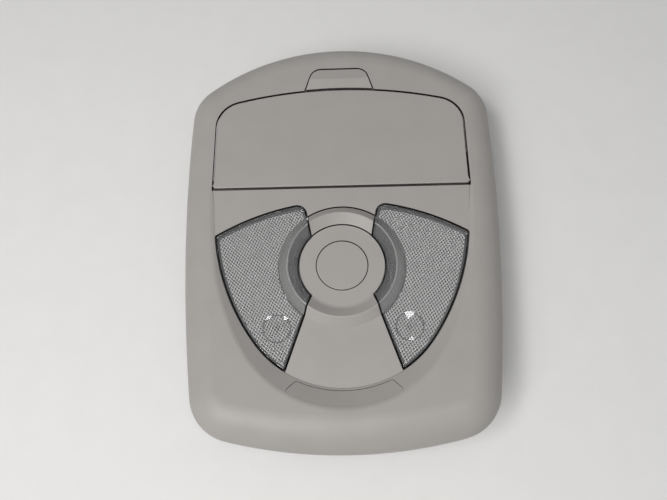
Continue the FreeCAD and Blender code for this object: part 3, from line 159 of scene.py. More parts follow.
@dataclass(frozen=True)
class Finish:
    """A named surface finish that builds its own shader."""

    name: str

    def material(self) -> bpy.types.Material:
        """Give the finish as a material, made the first time it is asked for.

        Returns:
            The material with its shader.
        """
        made = bpy.data.materials.get(self.name)
        if made is None:
            made = bpy.data.materials.new(self.name)
            made.use_nodes = True
            made.node_tree.nodes.clear()
            surface = self.shader(made.node_tree)
            add_node(made.node_tree, "ShaderNodeOutputMaterial", {"Surface": surface.outputs[0]})
        return made

    def shader(self, tree: bpy.types.NodeTree) -> bpy.types.Node:
        """Build the surface shader; each kind of finish has its own."""
        raise NotImplementedError


@dataclass(frozen=True)
class MouldedPlastic(Finish):
    """An opaque plastic or rubber out of a steel mould, with the mould's grain on it."""

    pale: str
    deep: str
    grain: float
    grain_depth: float
    roughness: float
    roughness_swing: float = 0.05
    octaves: float = 3.0
    mottle: float = 18 * MM
    ior: float = 1.5
    sheen: float = 0.0
    # Colour of the painted shade in narrow seams, mixed in where ambient occlusion finds the surface closed in.
    seam: str = ""
    seam_reach: float = 3 * MM
    seam_start: float = 0.5
    seam_stop: float = 0.8
    seam_samples: int = 8

    def shader(self, tree: bpy.types.NodeTree) -> bpy.types.Node:
        """Build a dielectric with faint mottling, a grain in relief and, where set, painted shade that darkens
        its seams.

        Args:
            tree: node tree of the material.

        Returns:
            The surface shader.
        """
        place = add_node(tree, "ShaderNodeTexCoord", {}).outputs["Object"]
        clouds = add_node(tree, "ShaderNodeTexNoise", {"Vector": place, "Scale": 1 / self.mottle})
        shade = add_node(tree, "ShaderNodeMapRange", {"Value": clouds.outputs[0], **MIDDLE})
        mottled = {MIX_SHARE: shade.outputs[0], MIX_FIRST: linear(self.deep), MIX_SECOND: linear(self.pale)}
        colour = add_node(tree, "ShaderNodeMix", mottled, data_type="RGBA").outputs[MIX_RESULT]
        # Painted shade: the colour goes nearly to black where ambient occlusion finds a narrow seam.
        if self.seam:
            reach = {"Distance": self.seam_reach}
            air = add_node(tree, "ShaderNodeAmbientOcclusion", reach, samples=self.seam_samples)
            openness = {"Value": air.outputs["AO"], "From Min": self.seam_start, "From Max": self.seam_stop}
            unshaded = add_node(tree, "ShaderNodeMapRange", openness)
            seam_shaded = {MIX_SHARE: unshaded.outputs[0], MIX_FIRST: linear(self.seam), MIX_SECOND: colour}
            colour = add_node(tree, "ShaderNodeMix", seam_shaded, data_type="RGBA").outputs[MIX_RESULT]
        pattern = {"Vector": place, "Scale": 1 / self.grain, "Detail": self.octaves}
        grain = add_node(tree, "ShaderNodeTexNoise", pattern).outputs[0]
        low, high = self.roughness - self.roughness_swing, self.roughness + self.roughness_swing
        gloss = add_node(tree, "ShaderNodeMapRange", {"Value": grain, **MIDDLE, "To Min": low, "To Max": high})
        bump = add_node(tree, "ShaderNodeBump", {"Distance": self.grain_depth, "Height": grain})
        inputs = {
            "Base Color": colour,
            "Roughness": gloss.outputs[0],
            "IOR": self.ior,
            "Sheen Weight": self.sheen,
            "Normal": bump.outputs[0],
        }
        return add_node(tree, "ShaderNodeBsdfPrincipled", inputs)


@dataclass(frozen=True)
class PaperSweep(MouldedPlastic):
    """Matte studio paper that runs into the backdrop far from the part."""

    backdrop: str = BACKDROP
    strength: float = BACKDROP_STRENGTH
    fade_start: float = 0.5
    fade_stop: float = 1.5

    def shader(self, tree: bpy.types.NodeTree) -> bpy.types.Node:
        """Build the paper and, far off and only as it is seen, the backdrop's own light.

        Args:
            tree: node tree of the material.

        Returns:
            The surface shader.
        """
        paper = super().shader(tree)
        place = add_node(tree, "ShaderNodeTexCoord", {}).outputs["Object"]
        away = add_node(tree, "ShaderNodeVectorMath", {0: place}, operation="LENGTH").outputs["Value"]
        reach = {"Value": away, "From Min": self.fade_start, "From Max": self.fade_stop}
        fade = add_node(tree, "ShaderNodeMapRange", reach, interpolation_type="SMOOTHSTEP").outputs[0]
        seen = add_node(tree, "ShaderNodeLightPath", {}).outputs["Is Camera Ray"]
        share = add_node(tree, "ShaderNodeMath", {0: fade, 1: seen}, operation="MULTIPLY").outputs[0]
        glow = add_node(tree, "ShaderNodeEmission", {"Color": linear(self.backdrop), "Strength": self.strength})
        return add_node(tree, "ShaderNodeMixShader", {0: share, 1: paper.outputs[0], 2: glow.outputs[0]})


@dataclass(frozen=True)
class Metal(Finish):
    """A bare or plated metal with fine marks, drawn out along one direction where its making did so."""

    pale: str
    deep: str
    roughness: float
    roughness_swing: float
    mark: float
    mark_depth: float = 0.01 * MM
    stretch: tuple[float, float, float] = (1, 1, 1)
    octaves: float = 4.0

    def shader(self, tree: bpy.types.NodeTree) -> bpy.types.Node:
        """Build a metal whose marks change its colour, gloss and relief a little.

        Args:
            tree: node tree of the material.

        Returns:
            The surface shader.
        """
        place = add_node(tree, "ShaderNodeTexCoord", {}).outputs["Object"]
        along = add_node(tree, "ShaderNodeMapping", {"Vector": place, "Scale": self.stretch}).outputs[0]
        pattern = {"Vector": along, "Scale": 1 / self.mark, "Detail": self.octaves}
        marks = add_node(tree, "ShaderNodeTexNoise", pattern).outputs[0]
        shade = add_node(tree, "ShaderNodeMapRange", {"Value": marks, **MIDDLE})
        tones = {MIX_SHARE: shade.outputs[0], MIX_FIRST: linear(self.deep), MIX_SECOND: linear(self.pale)}
        colour = add_node(tree, "ShaderNodeMix", tones, data_type="RGBA").outputs[MIX_RESULT]
        low, high = self.roughness - self.roughness_swing, self.roughness + self.roughness_swing
        gloss = add_node(tree, "ShaderNodeMapRange", {"Value": marks, **MIDDLE, "To Min": low, "To Max": high})
        bump = add_node(tree, "ShaderNodeBump", {"Distance": self.mark_depth, "Height": marks})
        inputs = {
            "Base Color": colour,
            "Metallic": 1.0,
            "Roughness": gloss.outputs[0],
            "Normal": bump.outputs[0],
        }
        return add_node(tree, "ShaderNodeBsdfPrincipled", inputs)


@dataclass(frozen=True)
class ClearPlastic(Finish):
    """A clear plastic or glass that light goes through; by default, moulded polycarbonate."""

    tint: str
    roughness: float
    ior: float = 1.58
    flow: float = 25 * MM
    flow_depth: float = 0.004 * MM
    clarity: float = 1.0

    def shader(self, tree: bpy.types.NodeTree) -> bpy.types.Node:
        """Build a dielectric that lets light through, with the faint waviness of its mould.

        Args:
            tree: node tree of the material.

        Returns:
            The surface shader.
        """
        place = add_node(tree, "ShaderNodeTexCoord", {}).outputs["Object"]
        waves = add_node(tree, "ShaderNodeTexNoise", {"Vector": place, "Scale": 1 / self.flow}).outputs[0]
        bump = add_node(tree, "ShaderNodeBump", {"Distance": self.flow_depth, "Height": waves})
        inputs = {
            "Base Color": linear(self.tint),
            "Roughness": self.roughness,
            "IOR": self.ior,
            "Transmission Weight": self.clarity,
            "Normal": bump.outputs[0],
        }
        return add_node(tree, "ShaderNodeBsdfPrincipled", inputs)


@dataclass(frozen=True)
class NeedleFelt(Finish):
    """Matted polyester fibre, punched with barbed needles into a soft sheet."""

    pale: str
    deep: str
    fibre: float
    nap: float
    streaks: tuple[tuple[float, float, float], ...] = ((1.0, 0.15, 0.3), (0.15, 1.0, 0.3))
    octaves: float = 3.0
    thin: float = 0.12
    thick: float = 0.4
    roughness: float = 0.95
    sheen: float = 0.4

    def shader(self, tree: bpy.types.NodeTree) -> bpy.types.Node:
        """Build a rough cloth whose fibres show as streaks in two directions.

        Args:
            tree: node tree of the material.

        Returns:
            The surface shader.
        """
        place = add_node(tree, "ShaderNodeTexCoord", {}).outputs["Object"]
        strands = []
        for stretch in self.streaks:
            along = add_node(tree, "ShaderNodeMapping", {"Vector": place, "Scale": stretch}).outputs[0]
            pattern = {"Vector": along, "Scale": 1 / self.fibre, "Detail": self.octaves}
            strands.append(add_node(tree, "ShaderNodeTexNoise", pattern).outputs[0])
        mat = add_node(tree, "ShaderNodeMath", dict(enumerate(strands)), operation="MULTIPLY").outputs[0]
        bump = add_node(tree, "ShaderNodeBump", {"Distance": self.nap, "Height": mat})
        cover = {"Value": mat, "From Min": self.thin, "From Max": self.thick}
        shade = add_node(tree, "ShaderNodeMapRange", cover)
        tones = {MIX_SHARE: shade.outputs[0], MIX_FIRST: linear(self.deep), MIX_SECOND: linear(self.pale)}
        inputs = {
            "Base Color": add_node(tree, "ShaderNodeMix", tones, data_type="RGBA").outputs[MIX_RESULT],
            "Roughness": self.roughness,
            "Sheen Weight": self.sheen,
            "Normal": bump.outputs[0],
        }
        return add_node(tree, "ShaderNodeBsdfPrincipled", inputs)


# ABS moulded against an etched steel tool: an even satin skin, warm grey. The real grain is about 0.3 mm
# wide, too fine to show here, so it is drawn near 1 mm. Painted shade darkens the narrow seams nearly to black.
GRAINED_ABS = MouldedPlastic(
    "abs_etched_mould", pale="#A29E9A", deep="#9F9B97", grain=0.9 * MM, grain_depth=0.03 * MM, roughness=0.5,
    seam="#0C0B0B",
)

# Polycarbonate moulded in a polished tool: clear, with a hard bright highlight on its edges and a trace of
# haze from years of wiping.
CLEAR_POLYCARBONATE = ClearPlastic("polycarbonate_polished", "#FCFCFB", roughness=0.03, clarity=0.96)

# The same plastic on the flat lands between small moulded prisms, painted pale: a painted silvery reflection.
PRISM_LANDS = ClearPlastic("polycarbonate_prism_lands", "#E0DFDD", roughness=0.25, clarity=0.25)

# The sloping faces of the prisms, painted dark: painted shade for the light they throw aside, against the pale
# lands. The walls and the push rod of a lens get the same painted shade.
PRISM_FACES = ClearPlastic("polycarbonate_prism_faces", "#4C4B4A", roughness=0.12, clarity=0.3)

# The same plastic on the ring's crest, pale and rough: a painted highlight, a bright line along the crest.
CREST_HIGHLIGHT_POLYCARBONATE = ClearPlastic(
    "polycarbonate_crest_highlight", "#C9C8C6", roughness=0.4, flow=3 * MM, flow_depth=0.02 * MM, clarity=0.65,
)

# The same plastic against a sanded insert: a satin slope that holds a little of the light.
SATIN_POLYCARBONATE = ClearPlastic(
    "polycarbonate_satin_slope", "#F0EFED", roughness=0.15, flow=3 * MM, flow_depth=0.01 * MM, clarity=0.83,
)

# ABS as it leaves a plain machined tool, dark grey: a half-gloss skin with faint flow clouds and the waves
# that a cutter leaves, about 2 mm apart.
HOUSING_ABS = MouldedPlastic(
    "abs_plain_mould", pale="#6E6D6B", deep="#666563", grain=2.0 * MM, grain_depth=0.02 * MM, roughness=0.42,
)

# Glass-filled polypropylene, black: dull, slightly uneven where the fibres come to the skin. They are about
# 0.3 mm long, too fine to show, so their marks are drawn near 1 mm.
BLACK_POLYPROPYLENE = MouldedPlastic(
    "polypropylene_glass_filled", pale="#24262A", deep="#17181B", grain=1.2 * MM, grain_depth=0.03 * MM,
    roughness=0.55,
)

# Nylon left natural: milky white with a soft waxy gloss on a skin that waves over about 1.5 mm.
NATURAL_NYLON = MouldedPlastic(
    "nylon_natural", pale="#E6E2D4", deep="#DAD5C4", grain=1.5 * MM, grain_depth=0.01 * MM, roughness=0.38,
    ior=1.53,
)

# Moulded rubber: deep grey, without gloss, dusty in its fine grain. The real grain is about 0.1 mm wide, too
# fine to show, so it is drawn at 0.8 mm.
BUMPER_RUBBER = MouldedPlastic(
    "rubber_moulded", pale="#2B2B2C", deep="#1B1B1C", grain=0.8 * MM, grain_depth=0.04 * MM, roughness=0.8,
    sheen=0.2,
)

# Aluminium evaporated on a lacquered shell: a mirror, clouded a little by the lacquer under it, which flows
# out in waves of about 4 mm.
METALLISED_SHELL = Metal(
    "aluminium_evaporated", pale="#E4E5E6", deep="#D3D5D6", roughness=0.16, roughness_swing=0.05, mark=4 * MM,
)

# Rolled brass strip, punched and bent: yellow, with rolling lines along the strip. They are about 0.1 mm
# apart, too fine to show, so they are drawn at 0.8 mm.
ROLLED_BRASS = Metal(
    "brass_rolled", pale="#D9B66B", deep="#BD9648", roughness=0.3, roughness_swing=0.08, mark=0.8 * MM,
    stretch=(1, 0.1, 1),
)

# Steel with a bright zinc plate: cool grey, with the small crystals of the plating. They are far under 0.1 mm,
# too fine to show, so they are drawn at 1.2 mm.
ZINC_STEEL = Metal(
    "steel_zinc_plated", pale="#C9CBCB", deep="#A3A7AA", roughness=0.32, roughness_swing=0.1, mark=1.2 * MM,
)

# Soda glass blown to a tube: clear and smooth, a little wavy from the blowing.
BLOWN_GLASS = ClearPlastic(
    "soda_glass_blown", "#F2F4F2", roughness=0.02, ior=1.52, flow=6 * MM, flow_depth=0.02 * MM,
)

# Polyester needle felt, dark grey. The fibres are about 0.03 mm thick, and are drawn near 0.7 mm to show.
LINING_FELT = NeedleFelt("polyester_needle_felt", pale="#5B5D60", deep="#2F3134", fibre=0.7 * MM, nap=0.25 * MM)

# Matte studio paper: pale, even and without gloss, and far off as light as the backdrop. Its tooth is about
# 0.1 mm, too fine to show, so it is drawn at 1 mm.
STUDIO_PAPER = PaperSweep(
    "paper_matt", pale="#E8E7E5", deep="#E6E5E3", grain=1 * MM, grain_depth=0.01 * MM, roughness=0.9,
)


def cad_mesh(node: str) -> bpy.types.Mesh:
    """Give the mesh of a CAD node, which keeps its shape."""
    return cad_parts[node].data


def put_on(finish: Finish, nodes: Iterable[str]) -> None:
    """Give CAD nodes a finish.

    Args:
        finish: the finish.
        nodes: names of the nodes.
    """
    for node in nodes:
        mesh = cad_mesh(node)
        mesh.materials.clear()
        mesh.materials.append(finish.material())
        log.info("%s is %s", node, finish.name)


def new_piece(name: str, shape: bmesh.types.BMesh, finish: Finish) -> bpy.types.Object:
    """Make a piece from a shape and dress it.

    Args:
        name: name of the piece.
        shape: its mesh, in the frame's own place; it is freed.
        finish: its finish.

    Returns:
        The new piece.
    """
    mesh = bpy.data.meshes.new(name)
    shape.to_mesh(mesh)
    shape.free()
    mesh.materials.append(finish.material())
    piece = bpy.data.objects.new(name, mesh)
    bpy.context.scene.collection.objects.link(piece)
    log.info("%s is %s", name, finish.name)
    return piece


def copy_of(node: str) -> bmesh.types.BMesh:
    """Copy the mesh of a CAD node, with flat faces.

    Args:
        node: name of the node.

    Returns:
        The copy, in the frame's own place.
    """
    shape = bmesh.new()
    shape.from_mesh(cad_mesh(node))
    for face in shape.faces:
        face.smooth = False
    return shape


def combine(shape: bmesh.types.BMesh, cutter: bmesh.types.BMesh, operation: Operation) -> bmesh.types.BMesh:
    """Clip or cut one closed shape with another.

    Args:
        shape: shape to change; it is freed.
        cutter: shape to change it with; it is freed.
        operation: what the cutter does.

    Returns:
        The new shape.
    """
    objects = []
    for part in (shape, cutter):
        mesh = bpy.data.meshes.new("scratch")
        part.to_mesh(mesh)
        part.free()
        scratch = bpy.data.objects.new("scratch", mesh)
        bpy.context.scene.collection.objects.link(scratch)
        objects.append(scratch)
    change = objects[0].modifiers.new("combine", "BOOLEAN")
    change.operation = operation.value
    change.solver = "EXACT"
    change.object = objects[1]
    depsgraph = bpy.context.evaluated_depsgraph_get()
    result = bmesh.new()
    result.from_object(objects[0], depsgraph)
    for scratch in objects:
        mesh = scratch.data
        bpy.data.objects.remove(scratch)
        bpy.data.meshes.remove(mesh)
    return result


@dataclass
class Shell:
    """The grained shell and the panels set into it."""

    nodes: tuple[str, ...] = ("bezel", "centre_panel", "switch_blank", "mic_blank")

    def dress(self) -> None:
        """Give the shell and its panels their grained skin."""
        put_on(GRAINED_ABS, self.nodes)


@dataclass
class PushLens:
    """One clear lens with the prisms moulded into its underside."""

    side: Side
    # Prisms: their spacing, the flat land between two pits, the depth of a pit and the plastic under its tip.
    pitch: float = 1.6 * MM
    land: float = 0.42 * MM
    prism_depth: float = 0.7 * MM
    web: float = 0.15 * MM
    # Directions of the two rows of prisms in degrees, and their reach from the middle in ground diagonals.
    steep_turn: float = 49.0
    flat_turn: float = -24.0
    lattice_reach: float = 0.75
    # Edges of the prism sheet: along the skirt, on the lid's side and round the smooth crescent.
    border: float = 0.5 * MM
    top_border: float = 1.2 * MM
    clear_radius: float = 38.5 * MM
    # Gap between lens and sheet, distance at which points are joined, and a level face's least normal.
    air: float = 0.01 * MM
    weld: float = 0.001 * MM
    level_normal: float = 0.999
    # Cutters: height over the sheet's own, the share of it above the ground, and the sides of a cylinder.
    cutter_ratio: float = 4.0
    cutter_rise: float = 0.25
    cutter_segments: int = 128
    # Zones of the lens: drop of the crest with its painted highlight, depth of the plate, least lean of the
    # slope, most of a wall.
    crest_drop: float = 0.22 * MM
    plate: float = 2 * MM
    slope_lean: float = 0.15
    upright: float = 0.3
    # The push rod, the radius round it that counts as rod, and the line round the finger dimple above it.
    rod_x: float = 38.5 * MM
    rod_y: float = -65.5 * MM
    rod_reach: float = 2.2 * MM
    dimple_radius: float = 8.5 * MM
    dimple_line: float = 0.7 * MM

    @property
    def node(self) -> str:
        """Name of the lens's CAD node."""
        return "lens_" + self.side.word

    @property
    def body(self) -> str:
        """Name of the body that the lens rocks with."""
        return self.side.word + "_lens"

    @property
    def rod(self) -> Vector:
        """Place of the push rod in plan."""
        return Vector((self.side.value * self.rod_x, self.rod_y))

    @property
    def cutter_height(self) -> float:
        """Height of what clips and cuts the prism sheet, well over the sheet's own."""
        return self.cutter_ratio * (self.prism_depth + self.web)

    def underside(self) -> bmesh.types.BMesh:
        """Take the flat underside of the lens plate from the CAD mesh.

        Returns:
            The face inside the skirt, as a sheet with no hole at the push rod.
        """
        mesh = cad_mesh(self.node)
        areas: dict[int, float] = {}
        for polygon in mesh.polygons:
            if polygon.normal.z < -self.level_normal:
                step = round(polygon.center.z / self.air)
                areas[step] = areas.get(step, 0) + polygon.area
        level = max(areas, key=areas.get) * self.air
        sheet = bmesh.new()
        sheet.from_mesh(mesh)
        stray = [
            face for face in sheet.faces
            if face.normal.z > -self.level_normal or abs(face.calc_center_median().z - level) > self.air
        ]
        bmesh.ops.delete(sheet, geom=stray, context="FACES")
        bmesh.ops.remove_doubles(sheet, verts=sheet.verts, dist=self.weld)
        near_rod = [
            edge for edge in sheet.edges
            if edge.is_boundary and all((v.co.xy - self.rod).length < self.rod_reach for v in edge.verts)
        ]
        bmesh.ops.edgeloop_fill(sheet, edges=near_rod)
        inside = sheet.faces[:]
        border = bmesh.ops.inset_region(sheet, faces=inside, thickness=self.border, use_even_offset=True)
        bmesh.ops.delete(sheet, geom=border["faces"], context="FACES")
        return sheet

    def lattice(self, low: Vector, high: Vector) -> bmesh.types.BMesh:
        """Make a closed sheet with a lattice of pyramid pits between flat lands.

        Args:
            low: lowest corner of the ground to cover.
            high: highest corner; its Z is the sheet's top.

        Returns:
            The sheet.
        """
        waves = []
        for turn in (self.steep_turn, self.flat_turn):
            angle = math.radians(turn)
            waves.append(Vector((-self.side.value * math.cos(angle), math.sin(angle))) / self.pitch)
        grid = Matrix((waves[0], waves[1])).inverted()
        middle = (low.xy + high.xy) / 2
        reach = int((high - low).length / self.pitch * self.lattice_reach)
        count = 2 * reach
        land = self.land / self.pitch / 2

        def corner(i: float, j: float, drop: float) -> Vector:
            """Place a lattice point."""
            ground = middle + grid @ Vector((i - reach, j - reach))
            return Vector((ground.x, ground.y, high.z - drop))

        sheet = bmesh.new()
        points = [[sheet.verts.new(corner(i, j, 0)) for j in range(count + 1)] for i in range(count + 1)]
        for i in range(count):
            for j in range(count):
                outer = [points[i][j], points[i + 1][j], points[i + 1][j + 1], points[i][j + 1]]
                near, far = land, 1 - land
                places = ((near, near), (far, near), (far, far), (near, far))
                inner = [sheet.verts.new(corner(i + di, j + dj, 0)) for di, dj in places]
                tip = sheet.verts.new(corner(i + 0.5, j + 0.5, self.prism_depth))
                for step in range(4):
                    sheet.faces.new((outer[step - 1], outer[step], inner[step], inner[step - 1]))
                    sheet.faces.new((inner[step - 1], inner[step], tip))
        depth = self.prism_depth + self.web
        ends = ((0, 0), (count, 0), (count, count), (0, count))
        base = [sheet.verts.new(corner(i, j, depth)) for i, j in ends]
        sheet.faces.new(base)
        borders = (
            [row[0] for row in points],
            points[-1],
            [row[-1] for row in reversed(points)],
            points[0][::-1],
        )
        for border, first, second in zip(borders, base, base[1:] + base[:1]):
            sheet.faces.new([*border, second, first])
        bmesh.ops.recalc_face_normals(sheet, faces=sheet.faces)
        return sheet

    def column(self, sheet: bmesh.types.BMesh, shift: float) -> bmesh.types.BMesh:
        """Stand a closed column on a flat sheet, reaching above and below it.

        Args:
            sheet: the sheet, which stays as it is.
            shift: how far the column stands back from the lid.

        Returns:
            The column.
        """
        solid = sheet.copy()
        raised = bmesh.ops.extrude_face_region(solid, geom=solid.faces[:])
        moved = [item for item in raised["geom"] if isinstance(item, bmesh.types.BMVert)]
        bmesh.ops.translate(solid, verts=moved, vec=(0, 0, -self.cutter_height))
        rise = self.cutter_rise * self.cutter_height
        bmesh.ops.translate(solid, verts=solid.verts, vec=(0, -shift, rise))
        bmesh.ops.recalc_face_normals(solid, faces=solid.faces)
        return solid

    def plug(self, middle: Vector, level: float, radius: float, deep: float) -> bmesh.types.BMesh:
        """Make an upright cylinder.

        Args:
            middle: its middle in plan.
            level: height of its middle.
            radius: its radius.
            deep: its height.

        Returns:
            The cylinder.
        """
        solid = bmesh.new()
        place = Matrix.Translation((middle.x, middle.y, level))
        bmesh.ops.create_cone(solid, cap_ends=True, segments=self.cutter_segments, radius1=radius,
                              radius2=radius, depth=deep, matrix=place)
        return solid

    def prisms(self) -> bpy.types.Object:
        """Make the prism sheet, clipped to the underside and clear of the smooth crescent.

        Returns:
            The prism sheet.
        """
        ground = self.underside()
        low = Vector(min(v.co[axis] for v in ground.verts) for axis in range(3))
        high = Vector(max(v.co[axis] for v in ground.verts) for axis in range(3))
        level = high.z
        high.z -= self.air
        shape = self.lattice(low, high)
        for shift in (0, self.top_border):
            shape = combine(shape, self.column(ground, shift), Operation.CLIP)
        ground.free()
        hub = self.plug(DISC_CENTRE, level, self.clear_radius, self.cutter_height)
        shape = combine(shape, hub, Operation.CUT)
        rim = self.plug(self.rod, level, self.dimple_radius, self.prism_depth)
        core = self.plug(self.rod, level, self.dimple_radius - self.dimple_line, self.cutter_height)
        shape = combine(shape, combine(rim, core, Operation.CUT), Operation.CUT)
        piece = new_piece("prisms_" + self.side.word, shape, PRISM_LANDS)
        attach(piece, self.body)
        piece.data.materials.append(PRISM_FACES.material())
        # Painted shade and light: the faces below the lands' top take the dark finish, the lands the pale one.
        for polygon in piece.data.polygons:
            polygon.material_index = int(polygon.center.z < high.z - self.air)
        return piece

    def zone(self, polygon: bpy.types.MeshPolygon, crest: float) -> LensZone:
        """Tell which part of the lens a face belongs to.

        Args:
            polygon: face of the lens's CAD mesh.
            crest: height above which the ring's crest takes its painted highlight.

        Returns:
            The part.
        """
        # Painted highlight: the crest's faces take a pale, rough plastic.
        if polygon.center.z > crest:
            return LensZone.CREST
        near_rod = (polygon.center.xy - self.rod).length < self.rod_reach
        under = polygon.center.z < FACE_Z - self.plate
        # Painted shade: the lens's walls and its push rod take the dark prism finish.
        if abs(polygon.normal.z) < self.upright or (under and near_rod):
            return LensZone.PAINTED_SHADE
        out = polygon.center.xy - DISC_CENTRE.xy
        leaning = out.normalized().dot(polygon.normal.xy) > self.slope_lean
        on_slope = leaning and not under and out.length < self.clear_radius
        return LensZone.SLOPE if on_slope else LensZone.CLEAR

    def dress(self) -> None:
        """Make the lens clear, with a painted highlight on the ring's crest, satin on its slope, painted shade
        on its walls and rod.
        """
        put_on(CLEAR_POLYCARBONATE, [self.node])
        mesh = cad_mesh(self.node)
        for finish in (CREST_HIGHLIGHT_POLYCARBONATE, PRISM_FACES, SATIN_POLYCARBONATE):
            mesh.materials.append(finish.material())
        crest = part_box(self.node)[1].z - self.crest_drop
        for polygon in mesh.polygons:
            polygon.material_index = self.zone(polygon, crest).value


@dataclass
class LampBox:
    """The lamp housing behind the lenses, with its reflectors, bulbs, strips and switches."""

    cap_length: float = 6.5 * MM

    def pair(self, stem: str) -> list[str]:
        """Name the two nodes of a pair."""
        return [f"{stem}_{side.word}" for side in Side]

    def dress(self) -> None:
        """Give each piece of the housing its finish."""
        put_on(HOUSING_ABS, ["lamp_housing"])
        put_on(METALLISED_SHELL, self.pair("reflector"))
        self.dress_bulbs()
        put_on(ROLLED_BRASS, ["ground_strip", "supply_strip", "connector_pins", *self.pair("feed_strip")])
        put_on(BLACK_POLYPROPYLENE, ["plug_socket", *self.pair("switch_case")])
        put_on(NATURAL_NYLON, self.pair("switch_plunger"))

    def dress_bulbs(self) -> None:
        """Give each bulb its glass and, at both ends, its metal caps."""
        for node in self.pair("bulb"):
            put_on(BLOWN_GLASS, [node])
            mesh = cad_mesh(node)
            mesh.materials.append(ZINC_STEEL.material())
            low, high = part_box(node)
            for polygon in mesh.polygons:
                end = min(polygon.center.y - low.y, high.y - polygon.center.y)
                polygon.material_index = int(end < self.cap_length)


@dataclass
class GlassesHolder:
    """The sunglasses holder: lid, bin, lining, hinge and damper."""

    def dress(self) -> None:
        """Give each piece of the holder its finish."""
        put_on(GRAINED_ABS, ["glasses_lid"])
        put_on(BLACK_POLYPROPYLENE, ["glasses_bin", "damper_case"])
        put_on(LINING_FELT, ["bin_lining"])
        put_on(NATURAL_NYLON, ["damper_gear"])
        put_on(BUMPER_RUBBER, ["lid_bumpers"])
        put_on(ZINC_STEEL, ["hinge_rod"])


@dataclass
class ReleaseTab:
    """The rocking tab that lets the lid go, with its pin and leaf spring."""

    bends: int = 8

    def dress(self) -> None:
        """Give the tab and its pin their finish."""
        put_on(GRAINED_ABS, ["release_button"])
        put_on(ZINC_STEEL, ["button_pin"])

    def leaf(self) -> bpy.types.Object:
        """Make the leaf spring with cross lines across it.

        Returns:
            The leaf spring.
        """
        shape = copy_of("button_spring")
        low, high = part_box("button_spring")
        bend_y = sum(corner.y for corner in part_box("button_pin")) / 2
        for step in range(1, self.bends):
            line = Vector((0, low.y + (bend_y - low.y) * step / self.bends, 0))
            everything = [*shape.verts, *shape.edges, *shape.faces]
            bmesh.ops.bisect_plane(shape, geom=everything, plane_co=line, plane_no=(0, 1, 0))
        piece = new_piece("leaf_spring", shape, ZINC_STEEL)
        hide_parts("button_spring")
        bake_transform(piece)
        return piece


@dataclass
class Fasteners:
    """Screws and roof clips."""

    recess_arm: float = 1.9 * MM
    recess_half: float = 0.45 * MM
    recess_depth: float = 1.3 * MM
    recess_taper: float = 0.45
    recess_proud: float = 0.01 * MM

    def dress(self) -> None:
        """Give the fasteners their plating."""
        put_on(ZINC_STEEL, ["damper_screws", "roof_clips"])

    def heads(self) -> list[Vector]:
        """Find the middles of the lamp screws' heads, one in each quarter of their box.

        Returns:
            The middle of each head's outer face.
        """
        low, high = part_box("lamp_screws")
        middle = (low + high) / 2
        quarters: dict[tuple[bool, bool], list[Vector]] = {}
        for vertex in cad_mesh("lamp_screws").vertices:
            if vertex.co.z < low.z + self.recess_depth:
                key = (vertex.co.x > middle.x, vertex.co.y > middle.y)
                quarters.setdefault(key, []).append(vertex.co)
        return [
            Vector(((min(c.x for c in rim) + max(c.x for c in rim)) / 2,
                    (min(c.y for c in rim) + max(c.y for c in rim)) / 2, low.z))
            for rim in quarters.values()
        ]

    def crosses(self) -> bmesh.types.BMesh:
        """Make the tapered crosses that a driver fits into.

        Returns:
            The crosses, standing in the heads.
        """
        arm, half = self.recess_arm, self.recess_half
        outline = []
        for turn in range(4):
            spin = Matrix.Rotation(turn * math.pi / 2, 2)
            outline += [spin @ Vector(point) for point in ((arm, -half), (arm, half), (half, half))]
        solid = bmesh.new()
        for head in self.heads():
            rims = [
                [solid.verts.new(head + (point * scale).to_3d() + Vector((0, 0, rise))) for point in outline]
                for scale, rise in ((1, 0), (self.recess_taper, self.recess_depth))
            ]
            for rim in rims:
                solid.faces.new(rim)
            for step in range(len(outline)):
                solid.faces.new((rims[0][step - 1], rims[0][step], rims[1][step], rims[1][step - 1]))
        bmesh.ops.recalc_face_normals(solid, faces=solid.faces)
        bmesh.ops.translate(solid, verts=solid.verts, vec=(0, 0, -self.recess_proud))
        return solid

    def lamp_screws(self) -> bpy.types.Object:
        """Make the lamp screws with a cross recess in each head.

        Returns:
            The four screws.
        """
        shape = combine(copy_of("lamp_screws"), self.crosses(), Operation.CUT)
        piece = new_piece("cross_screws", shape, ZINC_STEEL)
        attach(piece, "console")
        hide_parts("lamp_screws")
        return piece


@dataclass
class AreaLamp:
    """One soft square lamp that looks at the middle of the face."""

    name: str
    place: Vector
    size: float
    watts: float

    def switch_on(self) -> None:
        """Add the lamp to the scene."""
        data = bpy.data.lights.new(self.name, "AREA")
        data.shape = "SQUARE"
        data.size = self.size
        data.energy = self.watts
        lamp = bpy.data.objects.new(self.name, data)
        lamp.location = self.place
        aim = Vector((0, 0, FACE_Z)) - self.place
        lamp.rotation_euler = aim.to_track_quat("-Z", "Y").to_euler()
        bpy.context.scene.collection.objects.link(lamp)
        log.info("%s lamp is on", self.name)


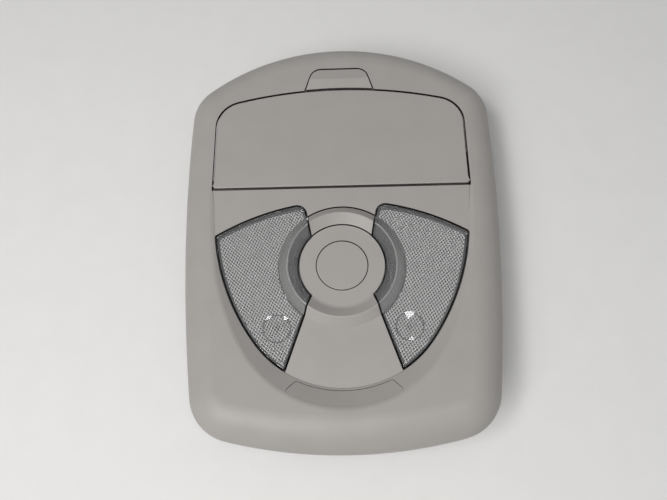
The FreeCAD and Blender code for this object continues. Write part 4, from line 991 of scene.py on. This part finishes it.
@dataclass
class Studio:
    """The pale floor, the light and the camera."""

    floor_size: float = 12.0
    ambient: float = 0.22
    lamps: tuple[AreaLamp, ...] = (
        AreaLamp("key", Vector((-0.45, -0.65, 1.05)), size=0.6, watts=8.5),
        AreaLamp("left", Vector((-0.53, -0.23, 1.2)), size=0.25, watts=3.0),
        AreaLamp("right", Vector((0.16, -0.23, 1.2)), size=0.25, watts=2.2),
    )
    camera_place: Vector = Vector((4.12, -146.1, 400.41)) * MM
    camera_aim: Vector = Vector((-0.0244, 0.3426, -0.9392))
    camera_up: Vector = Vector((0.0217, 0.9394, 0.3422))
    lens_mm: float = 33.46
    sensor_mm: float = 36.0
    clip_start: float = 10 * MM

    def floor(self) -> None:
        """Lay the floor that the part stands on."""
        shape = bmesh.new()
        bmesh.ops.create_grid(shape, x_segments=1, y_segments=1, size=self.floor_size / 2)
        mesh = bpy.data.meshes.new("floor")
        shape.to_mesh(mesh)
        shape.free()
        mesh.materials.append(STUDIO_PAPER.material())
        ground = bpy.data.objects.new("floor", mesh)
        ground.location.z = CAD_BOX[0].z
        bpy.context.scene.collection.objects.link(ground)

    def world(self) -> None:
        """Light the part evenly all round, with a pale backdrop where it is seen or mirrored."""
        world = bpy.data.worlds.new("studio")
        bpy.context.scene.world = world
        world.use_nodes = True
        tree = world.node_tree
        tree.nodes.clear()
        path = add_node(tree, "ShaderNodeLightPath", {})
        seen = path.outputs["Is Camera Ray"]
        for kind in ("Is Glossy Ray", "Is Transmission Ray"):
            joined = {0: seen, 1: path.outputs[kind]}
            seen = add_node(tree, "ShaderNodeMath", joined, operation="MAXIMUM").outputs[0]
        level = {"Value": seen, "To Min": self.ambient, "To Max": BACKDROP_STRENGTH}
        strength = add_node(tree, "ShaderNodeMapRange", level).outputs[0]
        sky = add_node(tree, "ShaderNodeBackground", {"Color": linear(BACKDROP), "Strength": strength})
        add_node(tree, "ShaderNodeOutputWorld", {"Surface": sky.outputs[0]})

    def camera(self) -> None:
        """Set the camera where the photograph was taken from."""
        data = bpy.data.cameras.new("camera")
        data.lens = self.lens_mm
        data.sensor_width = self.sensor_mm
        data.sensor_fit = "HORIZONTAL"
        data.clip_start = self.clip_start
        back = -self.camera_aim.normalized()
        right = self.camera_up.cross(back).normalized()
        turn = Matrix((right, back.cross(right), back)).transposed()
        camera = bpy.data.objects.new("camera", data)
        camera.matrix_world = Matrix.Translation(self.camera_place) @ turn.to_4x4()
        bpy.context.scene.collection.objects.link(camera)
        bpy.context.scene.camera = camera

    def set_up(self) -> None:
        """Lay the floor, light the part and set the camera."""
        self.floor()
        self.world()
        for lamp in self.lamps:
            lamp.switch_on()
        self.camera()
        bpy.context.scene.view_settings.view_transform = "Standard"


def main() -> None:
    """Build and dress the part piece by piece, then set the studio round it."""
    logging.basicConfig(level=logging.INFO, format="%(message)s")
    Shell().dress()
    for side in Side:
        lens = PushLens(side)
        lens.dress()
        lens.prisms()
    LampBox().dress()
    GlassesHolder().dress()
    tab = ReleaseTab()
    tab.dress()
    tab.leaf()
    fasteners = Fasteners()
    fasteners.dress()
    fasteners.lamp_screws()
    Studio().set_up()


if __name__ == "__main__":
    main()
